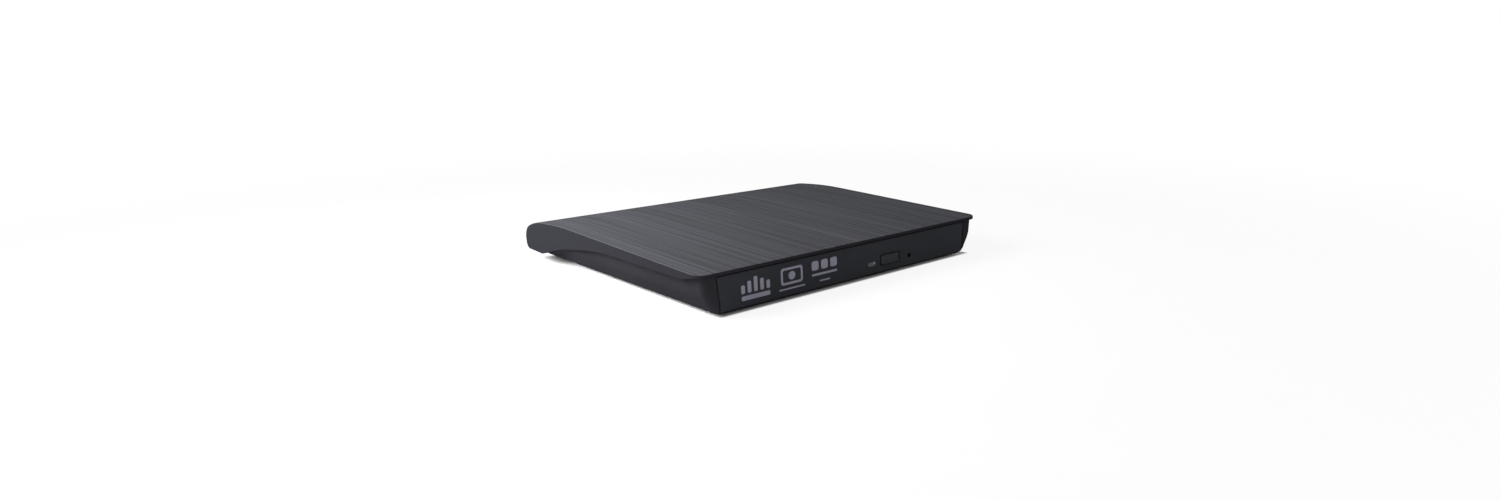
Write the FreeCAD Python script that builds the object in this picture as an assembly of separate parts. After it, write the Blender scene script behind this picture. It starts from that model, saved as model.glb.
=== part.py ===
import FreeCAD
import Part
import math
import os
from FreeCAD import Placement, Rotation, Vector

# External disc drive: a slim tray drive in a two-part plastic case.
# Millimetres. +X is to the right for someone facing the front, +Y goes to the rear, +Z is up.
# The origin is the middle of the footprint, at the level that the rubber feet stand on.

# Case
CASE_SIDE_ROOM = 8.75
REAR_BAY = 11.5
FOOT_STAND = 0.8
SHELL_FLOOR = 1.0
SHELL_WALL = 1.2
SHELL_DRAW_IN = 5.8
SHELL_KNEE_HEIGHT = 8.0
SHELL_KNEE_INSET = 0.8
SHELL_CORNER_RADIUS = 4.6
SHELL_KNEE_RADIUS = 10.0
SHELL_FRONT_ROUND = 2.6
SHELL_REAR_SLANT = 3.1
SHELL_REAR_HEIGHT = 4.2
SHELL_REAR_TOP = 5.2
COVER_WALL = 1.3
COVER_REAR_WALL = 1.5
SKIRT_WALL = 1.8
SKIRT_GAP = 0.25
PARTING_GAP = 0.4
LIP_OVERHANG = 1.5
LIP_CORNER_RADIUS = 5.0
LIP_EDGE_ROUND = 0.4
LIP_CLEARANCE = 1.1
CREST_INSET = 35.5
RAMP_RISE = 2.68
RAMP_ROUND = 250.0
SHOULDER_INSET = 11.5
SHOULDER_DROP = 1.65
SHOULDER_ROUND = 40.0
SPINE_DROP = 4.2
SPINE_ROUND = 7.0
SPINE_TUCK = 0.9
SPINE_FOOT_ROUND = 3.0
SWOOSH_FOOT_LENGTH = 16.0
SWOOSH_KNEE_INSET = 35.5
SWOOSH_KNEE_HEIGHT = 9.8
SWOOSH_TOP_INSET = 68.5
SWOOSH_TOP_HEIGHT = 14.4
SWOOSH_FRONT_LENGTH = 11.5
SWOOSH_FRONT_ROUND = 6.0
SWOOSH_KNEE_ROUND = 100.0
SWOOSH_TOP_ROUND = 230.0

# Rubber feet and case fasteners
FOOT_RADIUS = 5.0
FOOT_RECESS = 0.4
FOOT_GAP = 0.15
FOOT_SIDE_INSET = 14.9
FOOT_END_INSET = 17.5
FOOT_CHAMFER = 0.3
CASE_SCREW_SIDE_INSET = 15.75
CASE_SCREW_INSET = 8.3
CASE_SCREW_HEAD_RADIUS = 1.9
CASE_SCREW_HEAD = 1.2
CASE_SCREW_RADIUS = 1.0
CASE_SCREW_LENGTH = 11.0
CASE_BOSS_RADIUS = 2.6
CASE_BOSS_HEIGHT = 4.2
SCREW_GAP = 0.1
DRIVER_REACH = 1.1
DRIVER_WIDTH = 0.5
DRIVER_DEPTH = 0.7
DRIVE_SCREW_SIDE_INSET = 12.0
DRIVE_PAD_FRONT_INSET = 22.0
DRIVE_SCREW_INSET = 16.0
DRIVE_PAD = 6.0
DRIVE_SCREW_RADIUS = 0.95
DRIVE_SCREW_HEAD_RADIUS = 1.7
DRIVE_SCREW_REACH = 2.0
DRIVE_SCREW_SINK = 0.75
LOCATING_RIB = 1.2
LOCATING_RIB_HEIGHT = 11.0
LOCATING_RIB_PLACES = (-40.0, 0.0, 40.0)

# Slim drive
DRIVE_WIDTH = 128.0
DRIVE_LENGTH = 126.0
DRIVE_HEIGHT = 12.7
DRIVE_STANDOFF = 0.3
PAN_SHEET = 0.6
PAN_BEND = 1.5
LID_SHEET = 0.5
LID_RIM = 4.0
SHEET_GAP = 0.1
BEZEL_LAP = 0.5
BEZEL_HEIGHT = 13.1
BEZEL_THICKNESS = 3.6
BEZEL_TAPER = 0.9
BEZEL_GAP = 0.4
BEZEL_FLOOR_GAP = 0.25
BEZEL_FACE_ROUND = 0.35
BEZEL_SKIN = 1.4
BEZEL_RIM = 1.2
WING = 0.7
WING_INSET = 2.0
CHASSIS_GAP = 0.4

# Disc, spindle and feed direction
DISC_RADIUS = 60.0
SPINDLE_X = 2.0
DISC_SETBACK = 8.0
FEED_ANGLE = -128.3

# Tray
TRAY_GAP = 0.1
TRAY_TOP = 10.5
TRAY_BOTTOM = 1.5
TRAY_PLATE = 1.5
TRAY_WALL = 1.2
TRAY_RIGHT_REACH = 32.1
TRAY_REAR_ROOM = 8.0
FLANGE_SIDE_ROOM = 2.6
FLANGE_DEPTH = 16.3
FLANGE_CHAMFER = ((2.0, 4.7), (3.5, 6.4))
RECESS_DEPTH = 3.1
RECESS_FLOOR = 1.2
RECESS_SLOPE = 0.7
RECESS_CLEARANCE = 0.3
RECESS_RING = 1.3
RAIL_MID_HEIGHT = 4.4
TRAY_RIB_HEIGHT = 2.5
TRAY_RIB_DEPTH = 1.1
FRONT_BLOCK_LENGTH = 16.2
FRONT_BLOCK_WIDTH = 1.7
UNDER_COVER = 0.4

# Rails and guides
RAIL_SHEET = 0.7
RAIL_HEIGHT = 4.0
RAIL_GAP = 0.2
RAIL_WIDTH = 1.75
GUIDE_WALL = 0.75
GUIDE_SHUT_GAP = 0.3
GUIDE_TAB = 2.4

# Traverse unit, in the feed frame: first outwards from the spindle, then across
PLATE_THICKNESS = 0.7
PLATE_RISE = 0.4
PLATE_EDGE_GAP = 0.5
PLATE_LEDGE = 0.6
PLATE_LEFT = 33.7
PLATE_RIGHT = 38.0
PLATE_FRONT_RIGHT = 30.1
PLATE_STEP = (40.3, 29.3)
PLATE_BACK = 26.0
PLATE_STRAIGHT = 29.1
HUB_OPENING = 21.7
WINDOW_LEFT = 7.7
WINDOW_RIGHT = 13.4
WINDOW_END_INSET = 2.4
SLOT_ACROSS = 25.8
SLOT_WIDTH = 4.1
SLOT_START = 7.3
SLOT_LENGTH = 24.0
PLATE_HOLE_RADIUS = 1.4
PLATE_HOLES = ((DISC_RADIUS - 10.0, -27.2), (DISC_RADIUS - 6.1, 18.5))
FRAME_INSET = 1.4
FRAME_FLOOR = 0.8
FRAME_WALL = 1.4
FRAME_HEIGHT = 4.1
FRAME_CLEARANCE = 0.3
ROD_RADIUS = 1.0
ROD_HEIGHT = 4.5
MAIN_ROD_ACROSS = 18.0
SIDE_ROD_ACROSS = -12.5
ROD_START = 7.0
ROD_ENDS = {MAIN_ROD_ACROSS: DISC_RADIUS + 2.0, SIDE_ROD_ACROSS: DISC_RADIUS + 5.0}
ROD_GAP = 0.03
ROD_CRADLE = 1.6
BEARING_HALF = 1.6

# Spindle motor and turntable
MOTOR_BASE_RADIUS = 14.5
MOTOR_BASE = 0.7
MOTOR_SCREW_RADIUS = 19.9
MOTOR_SCREW_ANGLES = (45.4, 165.0, -75.0)
MOTOR_SCREW_HEAD_RADIUS = 1.5
MOTOR_SCREW_HEAD = 0.7
MOTOR_EAR = 3.8
BEARING_RADIUS = 2.6
STATOR_TEETH = 9
STATOR_RADIUS = 7.9
STATOR_TOOTH = 1.7
SHAFT_RADIUS = 1.0
SHAFT_GAP = 0.03
ROTOR_WALL = 0.8
ROTOR_RADIUS = 12.0
TURNTABLE_RADIUS = 15.0
TURNTABLE = 1.1
MAT_WIDTH = 3.2
MAT_THICKNESS = 0.35
HUB_RADIUS = 7.4
HUB_HEIGHT = 2.3
HUB_SLIT = 0.8
HUB_SLIT_START = 3.8
PAWL_COUNT = 3
PAWL_WIDTH = 3.0
PAWL_HEIGHT = 1.0
PAWL_PROUD = 0.45
PAWL_TRAVEL = 0.5
PAWL_GAP = 0.15

# Pickup
LENS_REST = 26.5
LENS_RADIUS = 1.6
LENS_CROWN = 3.2
LENS_HOLDER = 4.6
PICKUP_HEIGHT = 2.9
PICKUP_LIFT = 3.1
PICKUP_COVER = 0.4
PICKUP_SQUARE = 1.8
PICKUP_PLATE = 0.45
HEAT_SINK_GROOVES = 7
HEAT_SINK_PITCH = 1.1
HEAT_SINK_GROOVE = 0.45
PICKUP_INNER_ARC = 21.2
NUT_BACK = 12.0
SCREW_END_INSET = 7.8
SCREW_RADIUS = 1.2
SCREW_JOURNAL_RADIUS = 0.9
SCREW_THREAD_START = 8.5
MOTOR_RADIUS = 2.9

# Front electronics and latch
BUTTON_X = 19.0
BUTTON_Z = 4.5
BUTTON_WIDTH = 10.0
BUTTON_HEIGHT = 3.9
BUTTON_GAP = 0.2
BUTTON_BEVEL = 0.75
BUTTON_TRAVEL = 0.7
LAMP_X = 8.4
LAMP_Z = 4.1
LAMP_WIDTH = 4.2
LAMP_HEIGHT = 1.6
PINHOLE_X = 30.0
PINHOLE_Z = 4.0
PINHOLE_RADIUS = 1.0
LATCH_PIN_INSET = 10.8
LATCH_PIN_SETBACK = 12.7
LATCH_PIN_RADIUS = 0.9
LATCH_PIVOT_INSET = 7.4
LATCH_PIVOT_SETBACK = 6.8
LATCH_PEG_INSET = 18.8
LATCH_PEG_SETBACK = 6.6
LATCH_SWING = 10.5

# Derived levels and places
case_half = DRIVE_WIDTH / 2 + CASE_SIDE_ROOM
case_depth = LIP_OVERHANG + BEZEL_THICKNESS + CHASSIS_GAP + DRIVE_LENGTH + REAR_BAY
case_front = -case_depth / 2
case_rear = case_depth / 2
shell_bottom = FOOT_STAND
shell_floor = shell_bottom + SHELL_FLOOR
drive_bottom = shell_floor + DRIVE_STANDOFF
drive_top = drive_bottom + DRIVE_HEIGHT
lip_under = drive_top + LIP_CLEARANCE
lip_top = lip_under + COVER_WALL
shell_half = case_half - SKIRT_WALL - SKIRT_GAP
shell_flat_half = shell_half - SHELL_DRAW_IN
shell_top = lip_under - PARTING_GAP
bezel_front = case_front + LIP_OVERHANG
bezel_half = DRIVE_WIDTH / 2 + BEZEL_LAP
bezel_back = bezel_front + BEZEL_THICKNESS
bezel_bottom = shell_floor + BEZEL_FLOOR_GAP
bezel_top = bezel_bottom + BEZEL_HEIGHT
drive_front = bezel_back + CHASSIS_GAP
drive_rear = drive_front + DRIVE_LENGTH
spindle_y = bezel_front + DISC_SETBACK + DISC_RADIUS
pan_half = DRIVE_WIDTH / 2 - LID_SHEET - SHEET_GAP
pan_floor = drive_bottom + PAN_SHEET
lid_under = drive_top - LID_SHEET
tray_front = bezel_back + TRAY_GAP
tray_rear = drive_rear - TRAY_REAR_ROOM
rail_room = RAIL_GAP * 1.5 + RAIL_WIDTH + GUIDE_WALL + SHEET_GAP
tray_left = pan_half - PAN_SHEET - rail_room
tray_right = SPINDLE_X + TRAY_RIGHT_REACH
flange_right = pan_half - FLANGE_SIDE_ROOM
tray_bottom = drive_bottom + TRAY_BOTTOM
tray_top = drive_bottom + TRAY_TOP
recess_floor = tray_top - RECESS_DEPTH
recess_radius = DISC_RADIUS + RECESS_CLEARANCE
recess_top_radius = recess_radius + RECESS_SLOPE
flange_rear = bezel_front + FLANGE_DEPTH
rail_mid = drive_bottom + RAIL_MID_HEIGHT
rail_front = bezel_front + BEZEL_THICKNESS + FRONT_BLOCK_LENGTH + GUIDE_SHUT_GAP
plate_top = recess_floor + PLATE_RISE
plate_bottom = plate_top - PLATE_THICKNESS
frame_bottom = tray_bottom + FRAME_CLEARANCE
frame_floor = frame_bottom + FRAME_FLOOR
frame_top = frame_bottom + FRAME_HEIGHT
disc_seat = plate_top + 1.1
rod_height = drive_bottom + ROD_HEIGHT
pickup_bottom = drive_bottom + PICKUP_LIFT
pickup_top = pickup_bottom + PICKUP_HEIGHT

FEED = Placement(Vector(SPINDLE_X, spindle_y, 0), Rotation(Vector(0, 0, 1), FEED_ANGLE))
SPINDLE = Placement(Vector(SPINDLE_X, spindle_y, 0), Rotation())
window_end = DISC_RADIUS - WINDOW_END_INSET
screw_end = DISC_RADIUS - SCREW_END_INSET
BIG = 400.0
HEAD_SIDES = 12


# Modelling helpers
def corner_of(before, here, after, radius):
    """Start, middle and end of the arc that rounds one corner, or the corner itself."""
    if radius == 0:
        return here, None, here
    to_before = (before - here).normalize()
    to_after = (after - here).normalize()
    half = to_before.getAngle(to_after) / 2
    reach = radius / math.tan(half)
    centre = here + (to_before + to_after).normalize() * (radius / math.sin(half))
    middle = centre + (here - centre).normalize() * radius
    return here + to_before * reach, middle, here + to_after * reach


def outline(points):
    """Closed wire through (a, b) or (a, b, radius) corners."""
    places = [Vector(p[0], p[1], 0) for p in points]
    radii = [p[2] if len(p) > 2 else 0 for p in points]
    count = len(points)
    corners = [
        corner_of(places[i - 1], places[i], places[(i + 1) % count], radii[i]) for i in range(count)
    ]
    edges = []
    for i, (start, middle, end) in enumerate(corners):
        if middle is not None:
            edges.append(Part.Arc(start, middle, end).toShape())
        following = corners[(i + 1) % count][0]
        if end.distanceToPoint(following) > 1e-4:
            edges.append(Part.makeLine(end, following))
    return Part.Wire(edges)


def prism(points, low, high):
    """Solid over an outline in plan, from one height to another."""
    face = Part.Face(outline(points))
    face.translate(Vector(0, 0, low))
    return face.extrude(Vector(0, 0, high - low))


def prism_along_x(points, left, right):
    """Solid over a side outline of (y, z) corners."""
    solid = prism(points, left, right)
    solid.Placement = Placement(Vector(), Rotation(Vector(1, 1, 1), 120)).multiply(solid.Placement)
    return solid


def prism_along_y(points, front, rear):
    """Solid over a front outline of (x, z) corners."""
    solid = prism(points, -rear, -front)
    solid.Placement = Placement(Vector(), Rotation(Vector(1, 0, 0), 90)).multiply(solid.Placement)
    return solid


def box(x0, x1, y0, y1, z0, z1):
    """Box between two corners."""
    return Part.makeBox(x1 - x0, y1 - y0, z1 - z0, Vector(x0, y0, z0))


def rod(radius, low, high, x=0.0, y=0.0):
    """Upright cylinder."""
    return Part.makeCylinder(radius, high - low, Vector(x, y, low))


def rod_along_x(radius, start, end, y, z):
    """Cylinder along +X."""
    return Part.makeCylinder(radius, end - start, Vector(start, y, z), Vector(1, 0, 0))


def rod_along_y(radius, start, end, x, z):
    """Cylinder along +Y."""
    return Part.makeCylinder(radius, end - start, Vector(x, start, z), Vector(0, 1, 0))


def head_corners(radius):
    """Corners of a small screw head's outline, which has few sides."""
    turns = [2 * math.pi * i / HEAD_SIDES for i in range(HEAD_SIDES)]
    return [(radius * math.cos(turn), radius * math.sin(turn)) for turn in turns]


def screw_head(radius, low, high, x, y):
    """Upright head of a small screw."""
    return prism([(x + a, y + b) for a, b in head_corners(radius)], low, high)


def slot(start, end, across, width, low, high):
    """Round-ended bar along +X."""
    r = width / 2
    bar = box(start + r, end - r, across - r, across + r, low, high)
    return bar.multiFuse([rod(r, low, high, start + r, across), rod(r, low, high, end - r, across)])


def round_edges(shape, radius, pick):
    """Fillet the edges that pick(edge) accepts."""
    edges = [edge for edge in shape.Edges if pick(edge)]
    return shape.makeFillet(radius, edges)


def in_feed(shape):
    """Place a shape that was made in the feed frame."""
    shape = shape.copy()
    shape.Placement = FEED.multiply(shape.Placement)
    return shape


def feed_point(out, across):
    """Plan place of a point of the feed frame."""
    return FEED.multVec(Vector(out, across, 0))


def clean(shape):
    """Merge faces that lie in one surface."""
    return shape.removeSplitter()


# Case
def shell_section(grow, top):
    """Front outline of the bottom shell's outside, grown by an even gap."""
    half_flat = shell_flat_half + grow
    knee = shell_half - SHELL_KNEE_INSET + grow
    half = shell_half + grow
    low = shell_bottom - max(grow, 0)
    knee_z = shell_bottom + SHELL_KNEE_HEIGHT
    corner = max(SHELL_CORNER_RADIUS + grow, 0.5)
    side = [(half_flat, low, corner), (knee, knee_z, SHELL_KNEE_RADIUS), (half, shell_top)]
    if top > shell_top:
        side.append((half, top))
    return side + [(-p[0],) + p[1:] for p in reversed(side)]


def shell_inner_section(top):
    """Front outline of the bottom shell's inside."""
    slope = (shell_half - SHELL_KNEE_INSET - shell_flat_half) / SHELL_KNEE_HEIGHT
    across = SHELL_WALL * math.sqrt(1 + slope * slope)
    half_flat = shell_flat_half + SHELL_FLOOR * slope - across
    knee = shell_half - SHELL_KNEE_INSET - SHELL_WALL
    knee_z = shell_bottom + SHELL_KNEE_HEIGHT
    corner = SHELL_CORNER_RADIUS - SHELL_WALL
    half = shell_half - SHELL_WALL
    side = [
        (half_flat, shell_floor, corner),
        (knee, knee_z, SHELL_KNEE_RADIUS),
        (half, shell_top),
        (half, top),
    ]
    return side + [(-p[0],) + p[1:] for p in reversed(side)]


def top_line(inset):
    """Corners (y, z) of the cover's top from the lip to the foot of the spine, moved inwards."""
    front = case_front
    crest = lip_top + RAMP_RISE
    return [
        (front, lip_top - inset),
        (case_rear - CREST_INSET, crest - inset, RAMP_ROUND),
        (case_rear - SHOULDER_INSET - inset * 0.1, crest - SHOULDER_DROP - inset, SHOULDER_ROUND),
        (case_rear - inset, crest - SHOULDER_DROP - SPINE_DROP - inset * 0.7, SPINE_ROUND - inset),
    ]


def make_top_cover():
    """Cover: crowned top, lip, D-shaped spine and side skirts with a swept lower edge."""
    foot_z = shell_bottom + SHELL_REAR_HEIGHT
    profile = top_line(0.0) + [
        (case_rear - SPINE_TUCK, foot_z, SPINE_FOOT_ROUND),
        (case_rear - SWOOSH_FOOT_LENGTH, foot_z - PARTING_GAP),
        (case_rear - SWOOSH_KNEE_INSET, SWOOSH_KNEE_HEIGHT, SWOOSH_KNEE_ROUND),
        (case_rear - SWOOSH_TOP_INSET, SWOOSH_TOP_HEIGHT, SWOOSH_TOP_ROUND),
        (case_front + SWOOSH_FRONT_LENGTH, SWOOSH_TOP_HEIGHT, SWOOSH_FRONT_ROUND),
        (case_front + LIP_CORNER_RADIUS - 1.0, lip_under),
        (case_front, lip_under),
    ]
    cover = prism_along_x(profile, -case_half, case_half)
    cover = round_edges(cover, LIP_CORNER_RADIUS, is_lip_corner)
    cover = round_edges(cover, LIP_EDGE_ROUND, is_cover_rim)
    outside = cover
    hollow = top_line(COVER_WALL)
    hollow[0] = (case_front - 5.0, lip_under - 0.13)
    rear = case_rear - COVER_REAR_WALL
    hollow[3] = (rear, hollow[3][1], SPINE_ROUND - COVER_REAR_WALL)
    hollow += [(rear - SPINE_TUCK, -5.0), (case_front - 5.0, -5.0)]
    cavity = prism_along_x(hollow, -case_half, case_half)
    inside = prism_along_y(shell_section(SKIRT_GAP, 40.0), case_front - 5.0, case_rear)
    cover = cover.cut(cavity.common(inside))
    extras = [cover_pad(side) for side in (-1, 1)]
    extras += [cover_boss(side) for side in (-1, 1)]
    cover = cover.multiFuse([extra.common(outside) for extra in extras])
    for side in (-1, 1):
        cover = cover.cut(rod(CASE_SCREW_RADIUS, 0.0, screw_top(), side * case_screw_x(), screw_y()))
    return cover.cut(usb_opening())


def is_lip_corner(edge):
    """Upright edges at the two front corners of the lip."""
    bounds = edge.BoundBox
    return bounds.YMax < case_front + 0.1 and bounds.XLength < 0.01 and bounds.ZLength > COVER_WALL / 2


def is_cover_rim(edge):
    """Edges round the rim of the cover's top, and along the side of the spine."""
    bounds = edge.BoundBox
    on_side = bounds.XLength < 0.01 and abs(abs(bounds.Center.x) - case_half) < 0.01
    on_front = bounds.YMax < case_front + LIP_CORNER_RADIUS + 0.1 and bounds.ZLength < 0.3
    above = bounds.ZMin > lip_top - 0.05
    behind = bounds.YMin > case_rear - SHOULDER_INSET - 4.0
    spine = behind and bounds.ZMin > shell_bottom + SHELL_REAR_HEIGHT - 0.5
    return (on_side and (above or spine)) or (on_front and above)


def cover_pad(side):
    """Block under the lip that closes the gap above a front pillar."""
    inner = bezel_half + BEZEL_GAP + 0.2
    x0, x1 = sorted((side * inner, side * (shell_half - SHELL_FRONT_ROUND)))
    return box(x0, x1, bezel_front + 0.15, bezel_front + 4.0, shell_top + 0.02, lip_under + 0.6)


def screw_y():
    return case_rear - CASE_SCREW_INSET


def case_screw_x():
    return case_half - CASE_SCREW_SIDE_INSET


def screw_top():
    return shell_bottom + CASE_SCREW_HEAD + CASE_SCREW_LENGTH + 0.5


def cover_boss(side):
    """Screw boss under the cover's rear."""
    low = shell_floor + CASE_BOSS_HEIGHT + SHEET_GAP
    return rod(CASE_BOSS_RADIUS, low, lip_top + 0.5, side * case_screw_x(), screw_y())


def make_bottom_shell():
    """Tub with slanted sides, front pillars, feet recesses, bosses and locating ribs."""
    front = bezel_front + 0.1
    rear = case_rear - SPINE_TUCK - COVER_REAR_WALL - PARTING_GAP
    tub = prism_along_y(shell_section(0.0, shell_top), front, case_rear)
    tub = round_edges(tub, SHELL_FRONT_ROUND, lambda e: is_pillar_edge(e, front))
    rear_top = shell_bottom + SHELL_REAR_TOP
    side = [
        (front - 1.0, -1.0),
        (rear - SHELL_REAR_SLANT, -1.0),
        (rear - SHELL_REAR_SLANT, shell_bottom, 2.0),
        (rear, shell_bottom + SHELL_REAR_HEIGHT, 1.0),
        (rear, 30.0),
        (front - 1.0, 30.0),
    ]
    tub = tub.common(prism_along_x(side, -BIG, BIG))
    outside = tub
    inner_rear = rear - SHELL_WALL
    hollow_side = [
        (front - 1.0, shell_floor),
        (inner_rear - SHELL_REAR_SLANT, shell_floor, 1.0),
        (inner_rear, shell_bottom + SHELL_REAR_HEIGHT, 1.0),
        (inner_rear, 30.0),
        (front - 1.0, 30.0),
    ]
    hollow = prism_along_y(shell_inner_section(30.0), bezel_back + 0.5, case_rear)
    hollow = hollow.common(prism_along_x(hollow_side, -BIG, BIG))
    tub = tub.cut(hollow)
    top, low = bezel_half + BEZEL_GAP, bezel_half - BEZEL_TAPER + BEZEL_GAP
    mouth = [
        (low, shell_floor), (low, bezel_bottom), (top, bezel_top), (top, BIG),
        (-top, BIG), (-top, bezel_top), (-low, bezel_bottom), (-low, shell_floor),
    ]
    tub = tub.cut(prism_along_y(mouth, front - 1.0, bezel_back + 0.6))
    tub = tub.cut(box(-BIG, BIG, inner_rear - 0.5, BIG, rear_top, 30.0))
    tub = tub.cut(box(-BIG, BIG, case_rear - SHOULDER_INSET, BIG, shell_top - SPINE_DROP, 30.0))
    adds = [shell_boss(sign) for sign in (-1, 1)] + locating_ribs() + board_posts() + drive_pads()
    tub = tub.multiFuse([add.common(outside) for add in adds])
    cuts = [foot_solid(x, y, FOOT_GAP) for x, y in foot_places()]
    cuts += [case_screw(side, SCREW_GAP) for side in (-1, 1)]
    cuts += [drive_screw(side, SCREW_GAP) for side in (-1, 1)]
    return tub.cut(Part.makeCompound(cuts))


def is_pillar_edge(edge, front):
    """Side edges of the shell's front face, above its flat bottom."""
    bounds = edge.BoundBox
    return bounds.YMax < front + 0.01 and bounds.ZMax > shell_bottom + 0.1 and bounds.ZMin < shell_top - 0.1


def shell_boss(side):
    """Boss that the case screw's head seats in."""
    x = side * case_screw_x()
    return rod(CASE_BOSS_RADIUS, shell_floor - 0.2, shell_floor + CASE_BOSS_HEIGHT, x, screw_y())


def locating_ribs():
    """Ribs on the side walls that keep the drive central."""
    ribs = []
    inner = DRIVE_WIDTH / 2 + 0.3
    outer = shell_half - SHELL_WALL + 0.2
    corner = SHELL_KNEE_HEIGHT / 2
    for y in LOCATING_RIB_PLACES:
        for side in (-1, 1):
            points = [
                (side * inner, shell_floor + corner),
                (side * outer, shell_floor + corner + 1.5),
                (side * outer, shell_floor + LOCATING_RIB_HEIGHT),
                (side * (inner + 0.6), shell_floor + LOCATING_RIB_HEIGHT),
                (side * inner, shell_floor + LOCATING_RIB_HEIGHT - 0.6),
            ]
            ribs.append(prism_along_y(points, y - LOCATING_RIB / 2, y + LOCATING_RIB / 2))
    return ribs


def drive_pads():
    """Low pads that the drive stands on."""
    pads = []
    half = DRIVE_PAD / 2
    for x in (-drive_screw_x(), drive_screw_x()):
        for y in (drive_front + DRIVE_PAD_FRONT_INSET, drive_screw_y()):
            pads.append(box(x - half, x + half, y - half, y + half, shell_floor - 0.1, drive_bottom))
    return pads


def foot_places():
    """Centres of the four feet."""
    x, y = shell_flat_half - FOOT_SIDE_INSET, case_rear - FOOT_END_INSET
    return [(i * x, j * y) for i in (-1, 1) for j in (-1, 1)]


def foot_solid(x, y, grow):
    """One round foot, or its recess when it is grown."""
    high = shell_bottom + FOOT_RECESS
    low = 0.0 if grow == 0 else -1.0
    disc = rod(FOOT_RADIUS + grow, low, high, x, y)
    if grow:
        return disc
    return disc.makeChamfer(FOOT_CHAMFER, [e for e in disc.Edges if e.BoundBox.ZMax < 0.01])


def make_rubber_feet():
    return [foot_solid(x, y, 0) for x, y in foot_places()]


def case_screw(side, grow):
    """Pan-head screw from below into the cover's boss, or its hole when grown."""
    x, y = side * case_screw_x(), screw_y()
    head_low = shell_bottom + 0.35
    head_high = head_low + CASE_SCREW_HEAD
    if grow:
        seat = rod(CASE_SCREW_HEAD_RADIUS + grow, shell_bottom - 1.0, head_high, x, y)
        hole_top = shell_floor + CASE_BOSS_HEIGHT + 1.0
        return seat.fuse(rod(CASE_SCREW_RADIUS + grow, head_high - 0.1, hole_top, x, y))
    head = rod(CASE_SCREW_HEAD_RADIUS, head_low, head_high, x, y)
    head = head.makeChamfer(0.3, [e for e in head.Edges if e.BoundBox.ZMax < head_low + 0.01])
    screw = head.fuse(rod(CASE_SCREW_RADIUS - 0.02, head_high, head_high + CASE_SCREW_LENGTH - 0.5, x, y))
    return screw.cut(cross_recess(x, y, head_low))


def cross_recess(x, y, face):
    """Cross-shaped driver recess, cut upwards from a screw head's face."""
    reach, half, low, high = DRIVER_REACH, DRIVER_WIDTH / 2, face - 0.1, face + DRIVER_DEPTH
    across = box(x - reach, x + reach, y - half, y + half, low, high)
    return across.fuse(box(x - half, x + half, y - reach, y + reach, low, high))


def make_case_screws():
    return [case_screw(side, 0) for side in (-1, 1)]


def drive_screw_x():
    return DRIVE_WIDTH / 2 - DRIVE_SCREW_SIDE_INSET


def drive_screw_y():
    return drive_rear - DRIVE_SCREW_INSET


def drive_screw(side, grow):
    """Countersunk screw through the shell's floor into the chassis."""
    x, y = side * drive_screw_x(), drive_screw_y()
    face = shell_bottom + 0.1
    if grow:
        wide, narrow = DRIVE_SCREW_HEAD_RADIUS + grow, DRIVE_SCREW_RADIUS + grow
        sink = Part.makeCone(wide, narrow, DRIVE_SCREW_SINK, Vector(x, y, face))
        return sink.multiFuse([
            rod(wide, face - 1.0, face, x, y),
            rod(narrow, face, drive_bottom + 1.0, x, y),
        ])
    shank = DRIVE_SCREW_RADIUS - 0.02
    head = Part.makeCone(DRIVE_SCREW_HEAD_RADIUS, shank, DRIVE_SCREW_SINK, Vector(x, y, face))
    return head.fuse(rod(shank, face + DRIVE_SCREW_SINK - 0.05, face + DRIVE_SCREW_REACH, x, y))


def make_drive_screws():
    return [drive_screw(side, 0) for side in (-1, 1)]


# Bridge board and rear socket
BOARD_LEFT = -9.0
BOARD_RIGHT = 49.0
BOARD_THICKNESS = 1.0
BOARD_HEIGHT = 3.4
BOARD_MARGIN = 0.5
BOARD_POSTS = (-5.5, 14.0)
BOARD_POST = 3.6
BOARD_SCREW_HEAD_RADIUS = 1.6
BOARD_SCREW_HEAD = 0.7
USB_X = 4.5
USB_WIDTH = 8.94
USB_HEIGHT = 3.2
USB_WALL = 0.3
USB_LENGTH = 7.3
USB_LIFT = 0.02
CONNECTOR_X = 32.0
CONNECTOR_WIDTH = 24.0
CONNECTOR_DEPTH = 3.4
CONNECTOR_HEIGHT = 3.2
# Chips of the bridge board as place along X, width, depth and height
BRIDGE_CHIPS = (
    (20.0, 4.6, 4.6, 0.9),
    (26.6, 3.0, 4.0, 1.2),
    (31.5, 3.6, 2.0, 0.9),
    (36.5, 2.6, 1.6, 0.7),
    (45.5, 2.4, 2.4, 1.3),
)
BRIDGE_CHIP_SHIFT = 1.0
board_low = shell_floor + BOARD_HEIGHT
board_top = board_low + BOARD_THICKNESS
board_front = drive_rear + BOARD_MARGIN
board_rear = case_rear - SPINE_TUCK - COVER_REAR_WALL - PARTING_GAP - SHELL_WALL - BOARD_MARGIN
usb_mid = board_top + USB_LIFT + USB_HEIGHT / 2
usb_rear = case_rear - 1.25


def board_post_y():
    return (board_front + board_rear) / 2


def board_posts():
    """Square posts of the shell that carry the bridge board."""
    y, half = board_post_y(), BOARD_POST / 2
    return [box(x - half, x + half, y - half, y + half, shell_floor - 0.2, board_low) for x in BOARD_POSTS]


def make_bridge_board():
    """Narrow circuit board behind the drive."""
    corners = [
        (BOARD_LEFT, board_front, 0.5),
        (BOARD_RIGHT, board_front, 0.5),
        (BOARD_RIGHT, board_rear, 0.5),
        (BOARD_LEFT, board_rear, 0.5),
    ]
    return prism(corners, board_low, board_top)


def make_bridge_chips():
    """Bridge controller, memory, regulator and crystal."""
    y = board_post_y()
    return [chip(x, y + BRIDGE_CHIP_SHIFT, w, d, board_top, h) for x, w, d, h in BRIDGE_CHIPS]


def chip(x, y, width, depth, low, height):
    """Plain package that stands on a board."""
    return box(x - width / 2, x + width / 2, y - depth / 2, y + depth / 2, low, low + height)


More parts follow.
